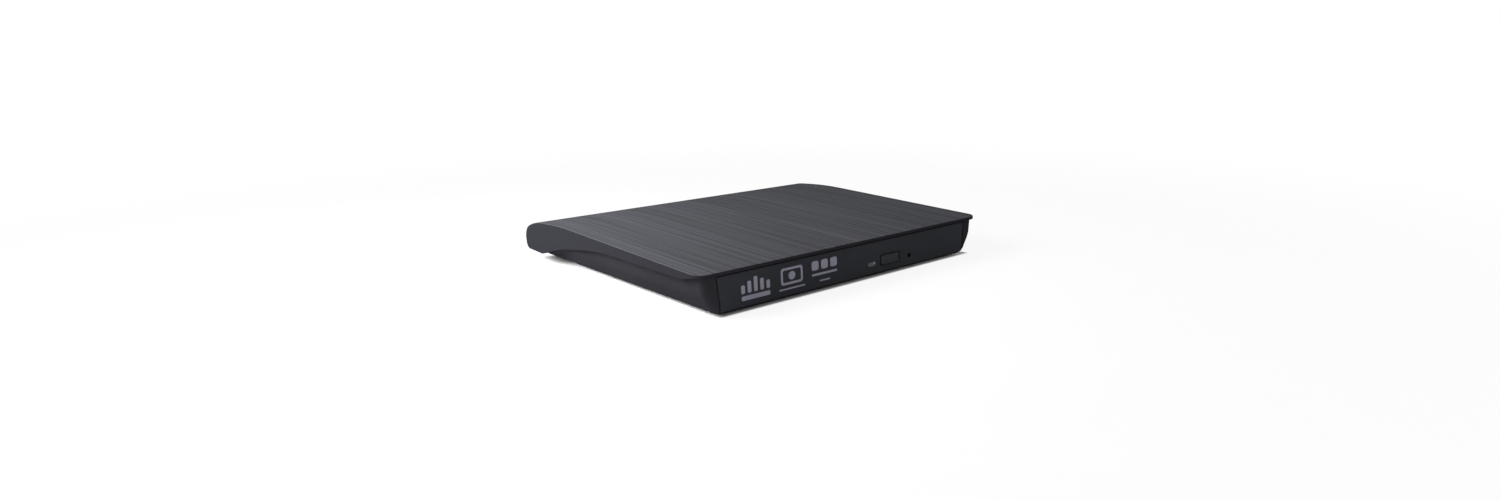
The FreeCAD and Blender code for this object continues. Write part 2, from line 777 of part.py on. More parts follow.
def stadium(width, height, radius, front, rear, x, z):
    """Rounded bar along Y, as the socket's shell and tongue opening."""
    w, h = width / 2, height / 2
    points = [(x - w, z - h, radius), (x + w, z - h, radius), (x + w, z + h, radius), (x - w, z + h, radius)]
    return prism_along_y(points, front, rear)


def make_usb_shell():
    """Drawn metal shell of the rear socket, open at the rear."""
    front = usb_rear - USB_LENGTH
    outer = stadium(USB_WIDTH, USB_HEIGHT, 1.5, front, usb_rear, USB_X, usb_mid)
    width, height = USB_WIDTH - 2 * USB_WALL, USB_HEIGHT - 2 * USB_WALL
    bore = stadium(width, height, 1.2, front - 1, usb_rear + 1, USB_X, usb_mid)
    return outer.cut(bore)


def make_usb_tongue():
    """Moulded body and tongue inside the socket."""
    front = usb_rear - USB_LENGTH
    gap = 0.04
    width, height = USB_WIDTH - 2 * USB_WALL - gap, USB_HEIGHT - 2 * USB_WALL - gap
    block = stadium(width, height, 1.17, front, front + 1.6, USB_X, usb_mid)
    tongue = stadium(6.7, 0.7, 0.2, front + 1.0, usb_rear - 0.8, USB_X, usb_mid)
    return block.fuse(tongue)


def usb_opening():
    """Hole in the spine for the rear socket, with a stepped mouth."""
    gap = 0.25
    hole = stadium(USB_WIDTH + 2 * gap, USB_HEIGHT + 2 * gap, 1.7, board_rear, case_rear + 1, USB_X, usb_mid)
    mouth = stadium(USB_WIDTH + 3.2, USB_HEIGHT + 3.0, 3.0, usb_rear + 0.05, case_rear + 1, USB_X, usb_mid)
    return hole.fuse(mouth)


def make_bridge_connector():
    """Plug on the bridge board, whose tongue enters the drive's rear connector."""
    x0, x1 = CONNECTOR_X - CONNECTOR_WIDTH / 2, CONNECTOR_X + CONNECTOR_WIDTH / 2
    y0 = drive_rear + 0.15
    body = box(x0, x1, y0, y0 + 2.2, board_top, board_top + CONNECTOR_HEIGHT)
    tongue_z = board_top + CONNECTOR_HEIGHT / 2
    tongue = box(x0 + 2.0, x1 - 2.0, y0 - 2.6, y0 + 0.5, tongue_z - 0.5, tongue_z + 0.5)
    ears = [box(x, x + 1.6, y0 - 1.5, y0 + 0.5, tongue_z - 1.1, tongue_z + 1.1) for x in (x0, x1 - 1.6)]
    return body.multiFuse([tongue] + ears)


def make_board_screws():
    """Plain heads of the screws that hold the bridge board down."""
    y, high = board_post_y(), board_top + BOARD_SCREW_HEAD
    return [screw_head(BOARD_SCREW_HEAD_RADIUS, board_top, high, x, y) for x in BOARD_POSTS]


# Drive chassis
def make_drive_chassis():
    """Pressed pan with rounded lower bends, open at the front."""
    half = pan_half
    sheet = PAN_SHEET
    top = lid_under
    outer = [(half, drive_bottom, PAN_BEND), (half, top), (-half, top), (-half, drive_bottom, PAN_BEND)]
    bend = PAN_BEND - sheet
    inner = [
        (half - sheet, pan_floor, bend),
        (half - sheet, top + 1),
        (sheet - half, top + 1),
        (sheet - half, pan_floor, bend),
    ]
    pan = prism_along_y(outer, drive_front, drive_rear - SHEET_GAP - LID_SHEET)
    pan = pan.cut(prism_along_y(inner, drive_front - 1, drive_rear - SHEET_GAP - LID_SHEET - sheet))
    port = box(
        CONNECTOR_X - CONNECTOR_WIDTH / 2 - 0.6, CONNECTOR_X + CONNECTOR_WIDTH / 2 + 0.6,
        drive_rear - 4.0, drive_rear + 1.0, board_low - 1.0, board_top + CONNECTOR_HEIGHT + 0.6,
    )
    holes = [rod(DRIVE_SCREW_RADIUS, 0, BIG, side * drive_screw_x(), drive_screw_y()) for side in (-1, 1)]
    return pan.cut(Part.makeCompound([port] + holes))


def make_drive_lid():
    """Thin pressed lid with turned-down rims and a raised disc area."""
    half = DRIVE_WIDTH / 2
    outer = box(-half, half, drive_front, drive_rear, lid_under - LID_RIM, drive_top)
    inner_half = half - LID_SHEET
    hollow = box(-inner_half, inner_half, drive_front - 1, drive_rear - LID_SHEET, 0, lid_under)
    lid = outer.cut(hollow)
    notch = box(
        CONNECTOR_X - CONNECTOR_WIDTH / 2 - 0.6, CONNECTOR_X + CONNECTOR_WIDTH / 2 + 0.6,
        drive_rear - 1, drive_rear + 1, 0, board_top + CONNECTOR_HEIGHT + 0.6,
    )
    return lid.cut(notch)


LID_SCREW_SETBACKS = (36.0, 96.0)
LID_SCREW_HEAD_RADIUS = 1.4
LID_SCREW_HEAD = 0.6


def make_lid_screws():
    """Plain heads of the screws through the lid's rim."""
    heads = []
    z = lid_under - LID_RIM / 2
    for side in (-1, 1):
        start, end = sorted((side * DRIVE_WIDTH / 2, side * (DRIVE_WIDTH / 2 + LID_SCREW_HEAD)))
        for setback in LID_SCREW_SETBACKS:
            corners = [(drive_front + setback + a, z + b) for a, b in head_corners(LID_SCREW_HEAD_RADIUS)]
            heads.append(prism_along_x(corners, start, end))
    return heads


BAY_LEFT_GAP = 4.9
BAY_DEPTH = 38.0
BOARD_STRIP = 5.6
MAIN_BOARD_LIFT = 0.7
MAIN_BOARD = 0.8
MAIN_BOARD_HOLE = 1.1
MAIN_BOARD_HOLE_INSET = 2.5
# Chips of the main board as places from the bay's middle and front, width, depth and height
MAIN_CHIPS = (
    (0.0, 17.5, 12.0, 12.0, 1.2),
    (-2.0, 7.8, 7.0, 6.0, 1.0),
    (6.0, 27.8, 4.5, 5.0, 0.9),
    (-7.5, 27.5, 2.6, 4.0, 1.0),
)
bay_left = tray_right + BAY_LEFT_GAP
bay_front = drive_rear - BAY_DEPTH
main_low = pan_floor + MAIN_BOARD_LIFT
main_top = main_low + MAIN_BOARD


def make_main_board():
    """Drive's main board, in the bay beside the tray and along the rear wall."""
    right = pan_half - PAN_SHEET - 0.4
    rear = drive_rear - SHEET_GAP - LID_SHEET - PAN_SHEET - 0.3
    strip = rear - BOARD_STRIP
    left = CONNECTOR_X - CONNECTOR_WIDTH / 2 - 1.5
    points = [
        (bay_left, bay_front), (right, bay_front), (right, rear),
        (left, rear), (left, strip), (bay_left, strip),
    ]
    board = prism(points, main_low, main_top)
    inset = MAIN_BOARD_HOLE_INSET
    places = ((bay_left + inset, bay_front + inset), (right - inset, rear - inset))
    holes = [rod(MAIN_BOARD_HOLE, 0, BIG, x, y) for x, y in places]
    return board.cut(Part.makeCompound(holes))


def make_main_board_chips():
    """Controller, motor driver, memory and crystal."""
    middle = (bay_left + pan_half) / 2
    return [chip(middle + x, bay_front + y, w, d, main_top, h) for x, y, w, d, h in MAIN_CHIPS]


def make_drive_connector():
    """Rear connector of the drive, slotted for the plug."""
    x0, x1 = CONNECTOR_X - CONNECTOR_WIDTH / 2, CONNECTOR_X + CONNECTOR_WIDTH / 2
    rear = drive_rear - 0.1
    low = main_top
    high = board_top + CONNECTOR_HEIGHT
    body = box(x0, x1, rear - CONNECTOR_DEPTH, rear, low, high)
    tongue_z = board_top + CONNECTOR_HEIGHT / 2
    mouth = box(x0 + 1.7, x1 - 1.7, rear - 2.7, rear + 1, tongue_z - 0.8, tongue_z + 0.8)
    ear_low, ear_high = tongue_z - 1.4, tongue_z + 1.4
    ears = [box(x, x + 2.0, rear - 1.7, rear + 1, ear_low, ear_high) for x in (x0 - 0.2, x1 - 1.8)]
    return body.cut(Part.makeCompound([mouth] + ears))


def rail_side(side):
    """Plan place of the tray's edge on one side, and its sign."""
    return (-tray_left, -1) if side == "left" else (tray_right, 1)


def channel(edge, sign, near, far, half_height, wall, front, rear):
    """C-shaped channel that opens towards the tray. near and far are distances from its edge."""
    a, b = edge + sign * near, edge + sign * far
    outer = box(min(a, b), max(a, b), front, rear, rail_mid - half_height, rail_mid + half_height)
    c = edge + sign * (far - wall)
    inner = box(min(a, c) - (1 if sign > 0 else 0), max(a, c) + (1 if sign < 0 else 0),
                front - 1, rear + 1, rail_mid - half_height + wall, rail_mid + half_height - wall)
    return outer.cut(inner)


def make_rail(side):
    """Sliding steel rail of C section."""
    edge, sign = rail_side(side)
    far, half = RAIL_GAP + RAIL_WIDTH, RAIL_HEIGHT / 2
    return channel(edge, sign, RAIL_GAP, far, half, RAIL_SHEET, rail_front, tray_rear)


def make_guide(side):
    """Fixed moulded guide of C section that the rail slides in."""
    edge, sign = rail_side(side)
    near = RAIL_GAP + 0.8
    far = RAIL_GAP + RAIL_WIDTH + RAIL_GAP / 2 + GUIDE_WALL
    half = RAIL_HEIGHT / 2 + RAIL_GAP + GUIDE_WALL
    guide = channel(edge, sign, near, far, half, GUIDE_WALL, rail_front, tray_rear)
    outer = edge + sign * far
    under = rail_mid - half + 0.1
    places = (rail_front + 4.0, (rail_front + tray_rear) / 2 - 4.05, tray_rear - 9.0)
    if side == "left":
        feet = [box(edge - near - 0.8, edge - near, y, y + 6.0, pan_floor, under) for y in places]
        return guide.multiFuse(feet)
    guide = guide.fuse(box(outer - GUIDE_WALL, outer, rail_front, tray_rear, pan_floor, under))
    tabs = [box(outer - 0.1, outer + GUIDE_TAB, y, y + 6.0, pan_floor, pan_floor + 0.5) for y in places]
    return guide.multiFuse(tabs)


# Tray
def tray_outline(grow):
    """Plan outline of the tray. grow is negative for its inside."""
    left, right = -tray_left - grow, tray_right + grow
    front, rear = tray_front - grow, tray_rear + grow
    flange_edge, flange_back = flange_right + grow, flange_rear + grow
    (first_in, first_up), (second_in, second_up) = FLANGE_CHAMFER
    inner_round = 1.0 if grow == 0 else 0.6
    return [
        (left, front),
        (flange_edge, front),
        (flange_edge, flange_back - second_up),
        (flange_edge - first_in + 0.1, flange_back - second_up + first_up),
        (flange_edge - second_in, flange_back),
        (right, flange_back, inner_round),
        (right, rear, 2.0 if grow == 0 else 1.0),
        (left, rear, 2.0 if grow == 0 else 1.0),
    ]


def plate_outline(grow, back_grow):
    """Feed-frame outline of the traverse plate, before the recess rounds its end."""
    left, right = -PLATE_LEFT - grow, PLATE_RIGHT + grow
    front_right = PLATE_FRONT_RIGHT + grow
    step_out, step_in = PLATE_STEP
    far = DISC_RADIUS + 20.0
    straight = PLATE_STRAIGHT + grow
    back = -PLATE_BACK - back_grow
    turn = math.radians(FEED_ANGLE)

    def across_at(out):
        return (straight - out * math.cos(turn)) / -math.sin(turn)

    out_at_right = (straight + right * math.sin(turn)) / math.cos(turn)
    return [
        (far, left),
        (far, front_right),
        (step_out + grow * 0.5, front_right, 3.0),
        (step_in + grow * 0.5, right, 3.0),
        (out_at_right, right, 3.0),
        (back, across_at(back), 3.0),
        (back, left, 4.0),
    ]


def plate_footprint(grow, back_grow, radius, low, high):
    """Traverse plate's area as a solid, rounded to the recess."""
    area = in_feed(prism(plate_outline(grow, back_grow), low, high))
    return area.common(rod(radius, low, high, SPINDLE_X, spindle_y))


def make_tray():
    """Moulded tray: deck, disc recess, skirts, side ribs, front blocks and ribs below."""
    x, y = SPINDLE_X, spindle_y
    tray = prism(tray_outline(0), tray_bottom, tray_top)
    rim = [e for e in tray.Edges if e.BoundBox.ZMin > tray_top - 0.01 and e.BoundBox.YMin > tray_front + 0.1]
    tray = tray.makeChamfer(0.35, rim)
    centre = Vector(x, y, recess_floor)
    tray = tray.cut(Part.makeCone(recess_radius, recess_top_radius + 0.1, RECESS_DEPTH + 0.3, centre))
    inside = prism(tray_outline(-TRAY_WALL), tray_bottom - 1, tray_top - TRAY_PLATE)
    ring = rod(recess_top_radius + RECESS_RING, 0, BIG, x, y)
    under_recess = prism(tray_outline(-TRAY_WALL), tray_bottom - 1, recess_floor - RECESS_FLOOR).common(ring)
    tray = tray.cut(inside.cut(ring).fuse(under_recess))
    low, high = recess_floor - 3.0, recess_floor + 1.0
    opening = plate_footprint(PLATE_EDGE_GAP, PLATE_EDGE_GAP, recess_radius - PLATE_LEDGE, low, high)
    tray = tray.cut(opening)
    adds = [tray_rib(side) for side in ("left", "right")] + front_blocks() + tray_bosses() + deck_ribs()
    tray = tray.multiFuse(adds)
    return tray.cut(Part.makeCompound(tray_cuts()))


def tray_rib(side):
    """Rib along the tray's edge that runs inside the rail."""
    edge, sign = rail_side(side)
    a, b = sorted((edge - sign * 0.3, edge + sign * TRAY_RIB_DEPTH))
    half = TRAY_RIB_HEIGHT / 2
    return box(a, b, rail_front + 1.0, tray_rear - 2.0, rail_mid - half, rail_mid + half)


def front_blocks():
    """Two blocks at the left edge of the deck, in front of the rail."""
    start = tray_front
    middle = start + FRONT_BLOCK_LENGTH / 2 - 0.1
    end = start + FRONT_BLOCK_LENGTH - 0.2
    low, high = tray_top - 2.2, tray_top - 0.1
    outer, inner = -tray_left - FRONT_BLOCK_WIDTH, -tray_left + 0.5
    wide = box(outer, inner, start, middle, low, high)
    return [wide, box(outer + 0.5, inner, middle + 0.4, end, low, high)]


DAMPER_PLACES = ((30.0, -29.0), (-20.0, -27.0), (-19.5, 14.0), (24.0, 33.0))
DAMPER_RADIUS = 2.6
DAMPER_NECK = 1.85
DAMPER_HEIGHT = 2.6
DAMPER_SCREW_HEAD_RADIUS = 1.9
DAMPER_SCREW_HEAD = 0.6
UNDER_POST = 3.4


def tray_bosses():
    """Square posts under the deck that take the under cover's screws."""
    half, high = UNDER_POST / 2, tray_top - TRAY_PLATE + 0.1
    return [box(x - half, x + half, y - half, y + half, tray_bottom, high) for x, y in UNDER_SCREWS]


UNDER_SCREW_HEAD_RADIUS = 1.5
UNDER_SCREW_HEAD = 0.2
UNDER_SCREWS = (
    (5.9 - tray_left, bezel_front + 8.5),
    (tray_right - 9.6, bezel_front + 18.0),
    (7.9 - tray_left, tray_rear - 5.0),
    (tray_right - 5.1, tray_rear - 8.0),
)


def deck_ribs():
    """Stiffening ribs under the deck and the recess floor."""
    low, high = tray_bottom + DECK_RIB_LIFT, recess_floor - RECESS_FLOOR + 0.1
    deck = tray_top - TRAY_PLATE + 0.1
    front_x, rear_x = 11.9 - tray_left, 19.9 - tray_left
    cross_y = tray_rear - 7.6
    return [
        box(front_x, front_x + DECK_RIB, tray_front + 0.5, bezel_front + 18.0, low, deck),
        box(SPINDLE_X - 22.0, tray_right - 6.1, cross_y, cross_y + DECK_RIB, low, high),
        box(rear_x, rear_x + DECK_RIB, tray_rear - 16.0, tray_rear - 0.5, low, high),
    ]


DECK_RIB = 0.8
DECK_RIB_LIFT = 1.2
DECK_SQUARE_HOLES = ((18.5, bezel_front + 6.3), (26.3, bezel_front + 18.8))
DECK_SQUARE = 1.9
DECK_DIMPLES = (
    (1.8, bezel_front + 11.1),
    (32.5, bezel_front + 12.8),
    (36.2, bezel_front + 5.6),
    (10.1, bezel_front + 11.4),
)
DECK_DIMPLE_RADIUS = 0.9
DECK_DIMPLE = 0.5
DECK_SEATS = ((12.0 - tray_left, bezel_front + 22.4), (flange_right - 20.1, bezel_front + 6.8))
DECK_SEAT_RADIUS = 1.3
DECK_SEAT = 0.3
DECK_PANEL = (flange_right - 15.2, flange_right - 6.0, bezel_front + 4.4, bezel_front + 11.4)
DECK_PANEL_DEPTH = 0.25


def deck_marks():
    """Square holes, dimples, round seats and the shallow panel in the deck and recess floor."""
    half = DECK_SQUARE / 2
    low, high = tray_bottom - 1, tray_top + 1
    marks = [box(x - half, x + half, y - half, y + half, low, high) for x, y in DECK_SQUARE_HOLES]
    for x, y in DECK_DIMPLES:
        away = math.hypot(x - SPINDLE_X, y - spindle_y)
        level = tray_top if away > recess_top_radius else recess_floor
        marks.append(rod(DECK_DIMPLE_RADIUS, level - DECK_DIMPLE, tray_top + 1, x, y))
    for x, y in DECK_SEATS:
        marks.append(rod(DECK_SEAT_RADIUS, tray_top - DECK_SEAT, tray_top + 1, x, y))
    left, right, front, rear = DECK_PANEL
    marks.append(box(left, right, front, rear, tray_top - DECK_PANEL_DEPTH, tray_top + 1))
    return marks


def tray_cuts():
    """Windows for the lamp, button, pin and latch, and the pickup's way under the deck."""
    front, back = tray_front - 1, tray_front + TRAY_WALL + 0.5
    button_z, lamp_z, pin_z = bezel_bottom + BUTTON_Z, bezel_bottom + LAMP_Z, bezel_bottom + PINHOLE_Z
    pin_x, pin_y = flange_right - LATCH_PIN_INSET, bezel_front + LATCH_PIN_SETBACK
    cable_left, cable_right = cable_x - CABLE_WIDTH / 2 - 1, cable_x + CABLE_WIDTH / 2 + 1
    under_deck = tray_top - TRAY_PLATE
    left, right = SIDE_ROD_ACROSS - 3.2, SLOT_ACROSS + 3.0
    way = in_feed(box(window_end - 12.0, BIG, left, right, tray_bottom - 1, plate_bottom - 0.15))
    way = way.common(prism(tray_outline(-TRAY_WALL), tray_bottom - 2, tray_top))
    return [
        box(BUTTON_X - 4.6, BUTTON_X + 4.6, front, back, button_z - 1.6, button_z + 1.6),
        box(LAMP_X - 2.4, LAMP_X + 2.4, front, back, lamp_z - 1.1, lamp_z + 1.1),
        rod_along_y(1.6, front, back, PINHOLE_X, pin_z),
        box(pin_x - 3.2, pin_x + 3.2, pin_y, flange_rear + 3.0, tray_bottom - 1, under_deck),
        box(cable_left, cable_right, flange_rear - 3.0, flange_rear + 3.0, tray_bottom - 1, under_deck),
        way,
    ] + deck_marks()


def make_under_cover():
    """Sheet that closes the tray from below, open under the pickup's window."""
    sheet = prism(tray_outline(-0.2), tray_bottom - UNDER_COVER, tray_bottom)
    window = in_feed(box(14.0, window_end - 3.0, -WINDOW_LEFT + 0.8, WINDOW_RIGHT - 0.8, 0, BIG))
    flange = box(tray_right - 1.0, BIG, -BIG, BIG, 0, BIG)
    motor = in_feed(box(-9.0, 9.0, SLOT_ACROSS - 3.4, SLOT_ACROSS + 3.4, 0, BIG))
    spindle = rod(ROTOR_RADIUS - 3.0, 0, BIG, SPINDLE_X, spindle_y)
    return sheet.cut(Part.makeCompound([window, flange, motor, spindle]))


def make_under_cover_screws():
    """Plain heads of the small flat screws that hold the under cover."""
    high = tray_bottom - UNDER_COVER
    low = high - UNDER_SCREW_HEAD
    return [screw_head(UNDER_SCREW_HEAD_RADIUS, low, high, x, y) for x, y in UNDER_SCREWS]


# Bezel and what sits behind it
def make_front_bezel():
    """Front bezel with its button opening, lamp slot, pinhole, rim and end wings."""
    top, low = bezel_half, bezel_half - BEZEL_TAPER
    points = [(low, bezel_bottom), (top, bezel_top), (-top, bezel_top), (-low, bezel_bottom)]
    bezel = prism_along_y(points, bezel_front, bezel_back)
    face = [e for e in bezel.Edges if e.BoundBox.YMax < bezel_front + 0.01]
    bezel = bezel.makeFillet(BEZEL_FACE_ROUND, face)
    top_in, low_in = top - BEZEL_RIM, low - BEZEL_RIM
    pocket = [
        (low_in, bezel_bottom + BEZEL_RIM), (top_in, bezel_top - BEZEL_RIM),
        (-top_in, bezel_top - BEZEL_RIM), (-low_in, bezel_bottom + BEZEL_RIM),
    ]
    bezel = bezel.cut(prism_along_y(pocket, bezel_front + BEZEL_SKIN, bezel_back + 1))
    bz = bezel_bottom + BUTTON_Z
    w, h = BUTTON_WIDTH / 2 + 1.2, BUTTON_HEIGHT / 2 + 1.0
    frame_block = box(BUTTON_X - w, BUTTON_X + w, bezel_front + BEZEL_SKIN - 0.1, bezel_back, bz - h, bz + h)
    pin_x, pin_z = PINHOLE_X, bezel_bottom + PINHOLE_Z
    boss = rod_along_y(2.0, bezel_front + BEZEL_SKIN - 0.1, bezel_back, pin_x, pin_z)
    wings = []
    for side in (-1, 1):
        a, b = sorted((side * (bezel_half - WING_INSET), side * (bezel_half - WING_INSET - WING)))
        low_z, high_z = bezel_bottom + 2.5, bezel_top - 2.5
        wings.append(box(a, b, bezel_front + BEZEL_SKIN, bezel_back + 1.3, low_z, high_z))
    bezel = bezel.multiFuse([frame_block, boss] + wings)
    pinhole = rod_along_y(PINHOLE_RADIUS, bezel_front - 1, bezel_back + 1, pin_x, pin_z)
    return bezel.cut(Part.makeCompound([button_opening(), lamp_solid(SCREW_GAP / 2), pinhole]))


def button_opening():
    """Opening round the button, flared at the face."""
    z = bezel_bottom + BUTTON_Z
    w, h = BUTTON_WIDTH / 2 + BUTTON_GAP, BUTTON_HEIGHT / 2 + BUTTON_GAP
    hole = stadium(2 * w, 2 * h, 0.5, bezel_front - 1, bezel_back + 1, BUTTON_X, z)
    flare = BUTTON_BEVEL
    wide = outline_at(w + flare, h + flare, 1.0, BUTTON_X, z, bezel_front - 0.01)
    narrow = outline_at(w, h, 0.5, BUTTON_X, z, bezel_front + flare)
    return hole.fuse(Part.makeLoft([wide, narrow], True, True))


def outline_at(half_width, half_height, radius, x, z, y):
    """Rounded rectangle standing in a plane of constant Y."""
    w, h = half_width, half_height
    corners = [(x - w, z - h), (x + w, z - h), (x + w, z + h), (x - w, z + h)]
    wire = outline([corner + (radius,) for corner in corners])
    wire.Placement = Placement(Vector(0, y, 0), Rotation(Vector(1, 0, 0), 90))
    return wire


def lamp_solid(grow):
    """Clear bar that carries the lamp's light to the bezel's face, or its slot when grown."""
    z = bezel_bottom + LAMP_Z
    front = bezel_front - (1.0 if grow else 0.15)
    return stadium(LAMP_WIDTH + 2 * grow, LAMP_HEIGHT + 2 * grow, 0.6, front, bezel_back + 0.05, LAMP_X, z)


def make_light_pipe():
    pipe = lamp_solid(0)
    z = bezel_bottom + LAMP_Z
    half_width, half_height = LAMP_WIDTH / 2 + 0.5, LAMP_HEIGHT / 2 + 0.4
    skin = bezel_front + BEZEL_SKIN
    left, right = LAMP_X - half_width, LAMP_X + half_width
    flange = box(left, right, skin + 0.02, skin + 0.5, z - half_height, z + half_height)
    return pipe.fuse(flange)


def make_eject_button():
    """Button cap with a stem that reaches the switch."""
    z = bezel_bottom + BUTTON_Z
    front = bezel_front + 0.25
    cap = stadium(BUTTON_WIDTH, BUTTON_HEIGHT, 0.45, front, bezel_front + 1.6, BUTTON_X, z)
    rim = [e for e in cap.Edges if e.BoundBox.YMax < front + 0.01]
    cap = cap.makeChamfer(0.25, rim)
    stem_rear = SWITCH_FRONT - BUTTON_TRAVEL - 0.15
    stem = box(BUTTON_X - 2.4, BUTTON_X + 2.4, bezel_front + 1.2, stem_rear, z - 0.9, z + 0.9)
    return cap.fuse(stem)


FRONT_BOARD_LEFT = 4.5
FRONT_BOARD_RIGHT = 27.0
FRONT_BOARD = 0.8
SWITCH_FRONT = tray_front + TRAY_WALL + 0.3
front_board_low = drive_bottom + 2.4
front_board_top = front_board_low + FRONT_BOARD
front_board_y0 = tray_front + TRAY_WALL + 0.1
front_board_y1 = front_board_y0 + 5.6


def make_front_board():
    """Small board behind the bezel for the lamp and the switch."""
    points = [
        (FRONT_BOARD_LEFT, front_board_y0, 0.4), (FRONT_BOARD_RIGHT, front_board_y0, 0.4),
        (FRONT_BOARD_RIGHT, front_board_y1, 0.8), (FRONT_BOARD_LEFT, front_board_y1, 0.8),
    ]
    return prism(points, front_board_low, front_board_top)


def make_button_switch():
    """Side-pressed tactile switch with a well for its plunger."""
    z = bezel_bottom + BUTTON_Z
    body = box(BUTTON_X - 3.0, BUTTON_X + 3.0, SWITCH_FRONT, SWITCH_FRONT + 3.2, front_board_top, z + 1.7)
    well = box(BUTTON_X - 1.3, BUTTON_X + 1.3, SWITCH_FRONT - 1, SWITCH_FRONT + 1.2, z - 0.8, z + 0.8)
    return body.cut(well)


def make_switch_plunger():
    """Switch's plunger, which moves with the button."""
    z = bezel_bottom + BUTTON_Z
    front = SWITCH_FRONT - BUTTON_TRAVEL - 0.15
    return box(BUTTON_X - 1.1, BUTTON_X + 1.1, front, SWITCH_FRONT + 0.3, z - 0.6, z + 0.6)


def make_lamp():
    """Side-facing light-emitting diode."""
    z = bezel_bottom + LAMP_Z
    y = SWITCH_FRONT - 0.1
    body = box(LAMP_X - 1.6, LAMP_X + 1.6, y + 0.4, y + 1.4, front_board_top, z + 0.7)
    return body.fuse(box(LAMP_X - 0.9, LAMP_X + 0.9, y, y + 0.5, max(front_board_top, z - 0.5), z + 0.5))


# Latch
LATCH_THICKNESS = 1.2
LATCH_STUD_RADIUS = 0.8
LATCH_PEG_RADIUS = 0.45
latch_low = drive_bottom + 2.4
latch_high = latch_low + LATCH_THICKNESS
pivot_x = flange_right - LATCH_PIVOT_INSET
pivot_y = bezel_front + LATCH_PIVOT_SETBACK
hook_pin_x = flange_right - LATCH_PIN_INSET
hook_pin_y = bezel_front + LATCH_PIN_SETBACK
peg_x = flange_right - LATCH_PEG_INSET
peg_y = bezel_front + LATCH_PEG_SETBACK


def make_latch_pin():
    """Pin that stands on the chassis floor for the hook to hold."""
    pin = rod(LATCH_PIN_RADIUS, pan_floor, drive_bottom + 6.0, hook_pin_x, hook_pin_y)
    return pin.fuse(rod(2.2, pan_floor, pan_floor + 0.5, hook_pin_x, hook_pin_y))


def turned(shape, angle):
    """Turn a shape about the latch's pivot."""
    shape = shape.copy()
    shape.rotate(Vector(pivot_x, pivot_y, 0), Vector(0, 0, 1), angle)
    return shape


def make_latch_hook():
    """Two-armed lever, drawn let go: a claw to the rear and a long arm to the pinhole."""
    reach = hook_pin_y + LATCH_PIN_RADIUS + 0.3
    claw_tip = hook_pin_x - 0.1
    arm_front = tray_front + TRAY_WALL + 0.2
    arm_left = PINHOLE_X - 0.9
    points = [
        (pivot_x + 1.9, pivot_y - 1.6, 1.5),
        (pivot_x + 1.9, reach + 1.0, 1.2),
        (claw_tip, reach + 1.0, 0.3),
        (claw_tip, reach, 0.2),
        (pivot_x - 1.4, reach, 0.4),
        (pivot_x - 1.8, pivot_y + 1.7, 0.8),
        (peg_x - 1.6, arm_front + 2.2, 1.0),
        (arm_left, arm_front + 1.0, 0.3),
        (arm_left, arm_front, 0.3),
        (pivot_x - 2.0, arm_front, 0.5),
    ]
    lever = prism(points, latch_low, latch_high)
    lever = lever.fuse(rod(1.8, latch_low, latch_high + 0.8, pivot_x, pivot_y))
    lever = lever.fuse(rod(LATCH_PEG_RADIUS, latch_low, latch_high + 2.1, peg_x, peg_y))
    tab = box(arm_left, arm_left + 2.0, arm_front, arm_front + 0.8, latch_low, bezel_bottom + PINHOLE_Z + 1.5)
    lever = lever.fuse(tab)
    lever = lever.cut(rod(LATCH_STUD_RADIUS + 0.05, 0, BIG, pivot_x, pivot_y))
    return turned(lever, -LATCH_SWING)


def make_latch_pivot():
    """Headed stud on the tray that the hook turns on."""
    stud = rod(LATCH_STUD_RADIUS, latch_low - 0.7, tray_top - TRAY_PLATE, pivot_x, pivot_y)
    head = rod(1.5, latch_low - 0.7, latch_low - 0.2, pivot_x, pivot_y)
    return stud.fuse(head)


SOLENOID_WIDTH = 7.0
SOLENOID_LENGTH = 4.6
PLUNGER_RADIUS = 0.9
solenoid_y0 = bezel_front + FLANGE_DEPTH - TRAY_WALL - 0.3 - SOLENOID_LENGTH
solenoid_z = latch_high + 1.5


def make_latch_solenoid():
    """Self-holding solenoid: bent steel frame round a wound coil, bored for its plunger."""
    z0, z1 = latch_high - 0.2, tray_top - TRAY_PLATE
    x0, x1 = peg_x - SOLENOID_WIDTH / 2, peg_x + SOLENOID_WIDTH / 2
    body = box(x0, x1, solenoid_y0, solenoid_y0 + SOLENOID_LENGTH, z0, z1)
    front, rear = solenoid_y0 + 0.8, solenoid_y0 + SOLENOID_LENGTH - 0.8
    waist = [box(x, x + 1.5, front, rear, z0 - 1, z1 - 0.8) for x in (x0 - 1.0, x1 - 0.5)]
    end = solenoid_y0 + SOLENOID_LENGTH - 0.5
    bore = rod_along_y(PLUNGER_RADIUS + 0.05, solenoid_y0 - 1, end, peg_x, solenoid_z)
    return body.cut(Part.makeCompound(waist + [bore]))


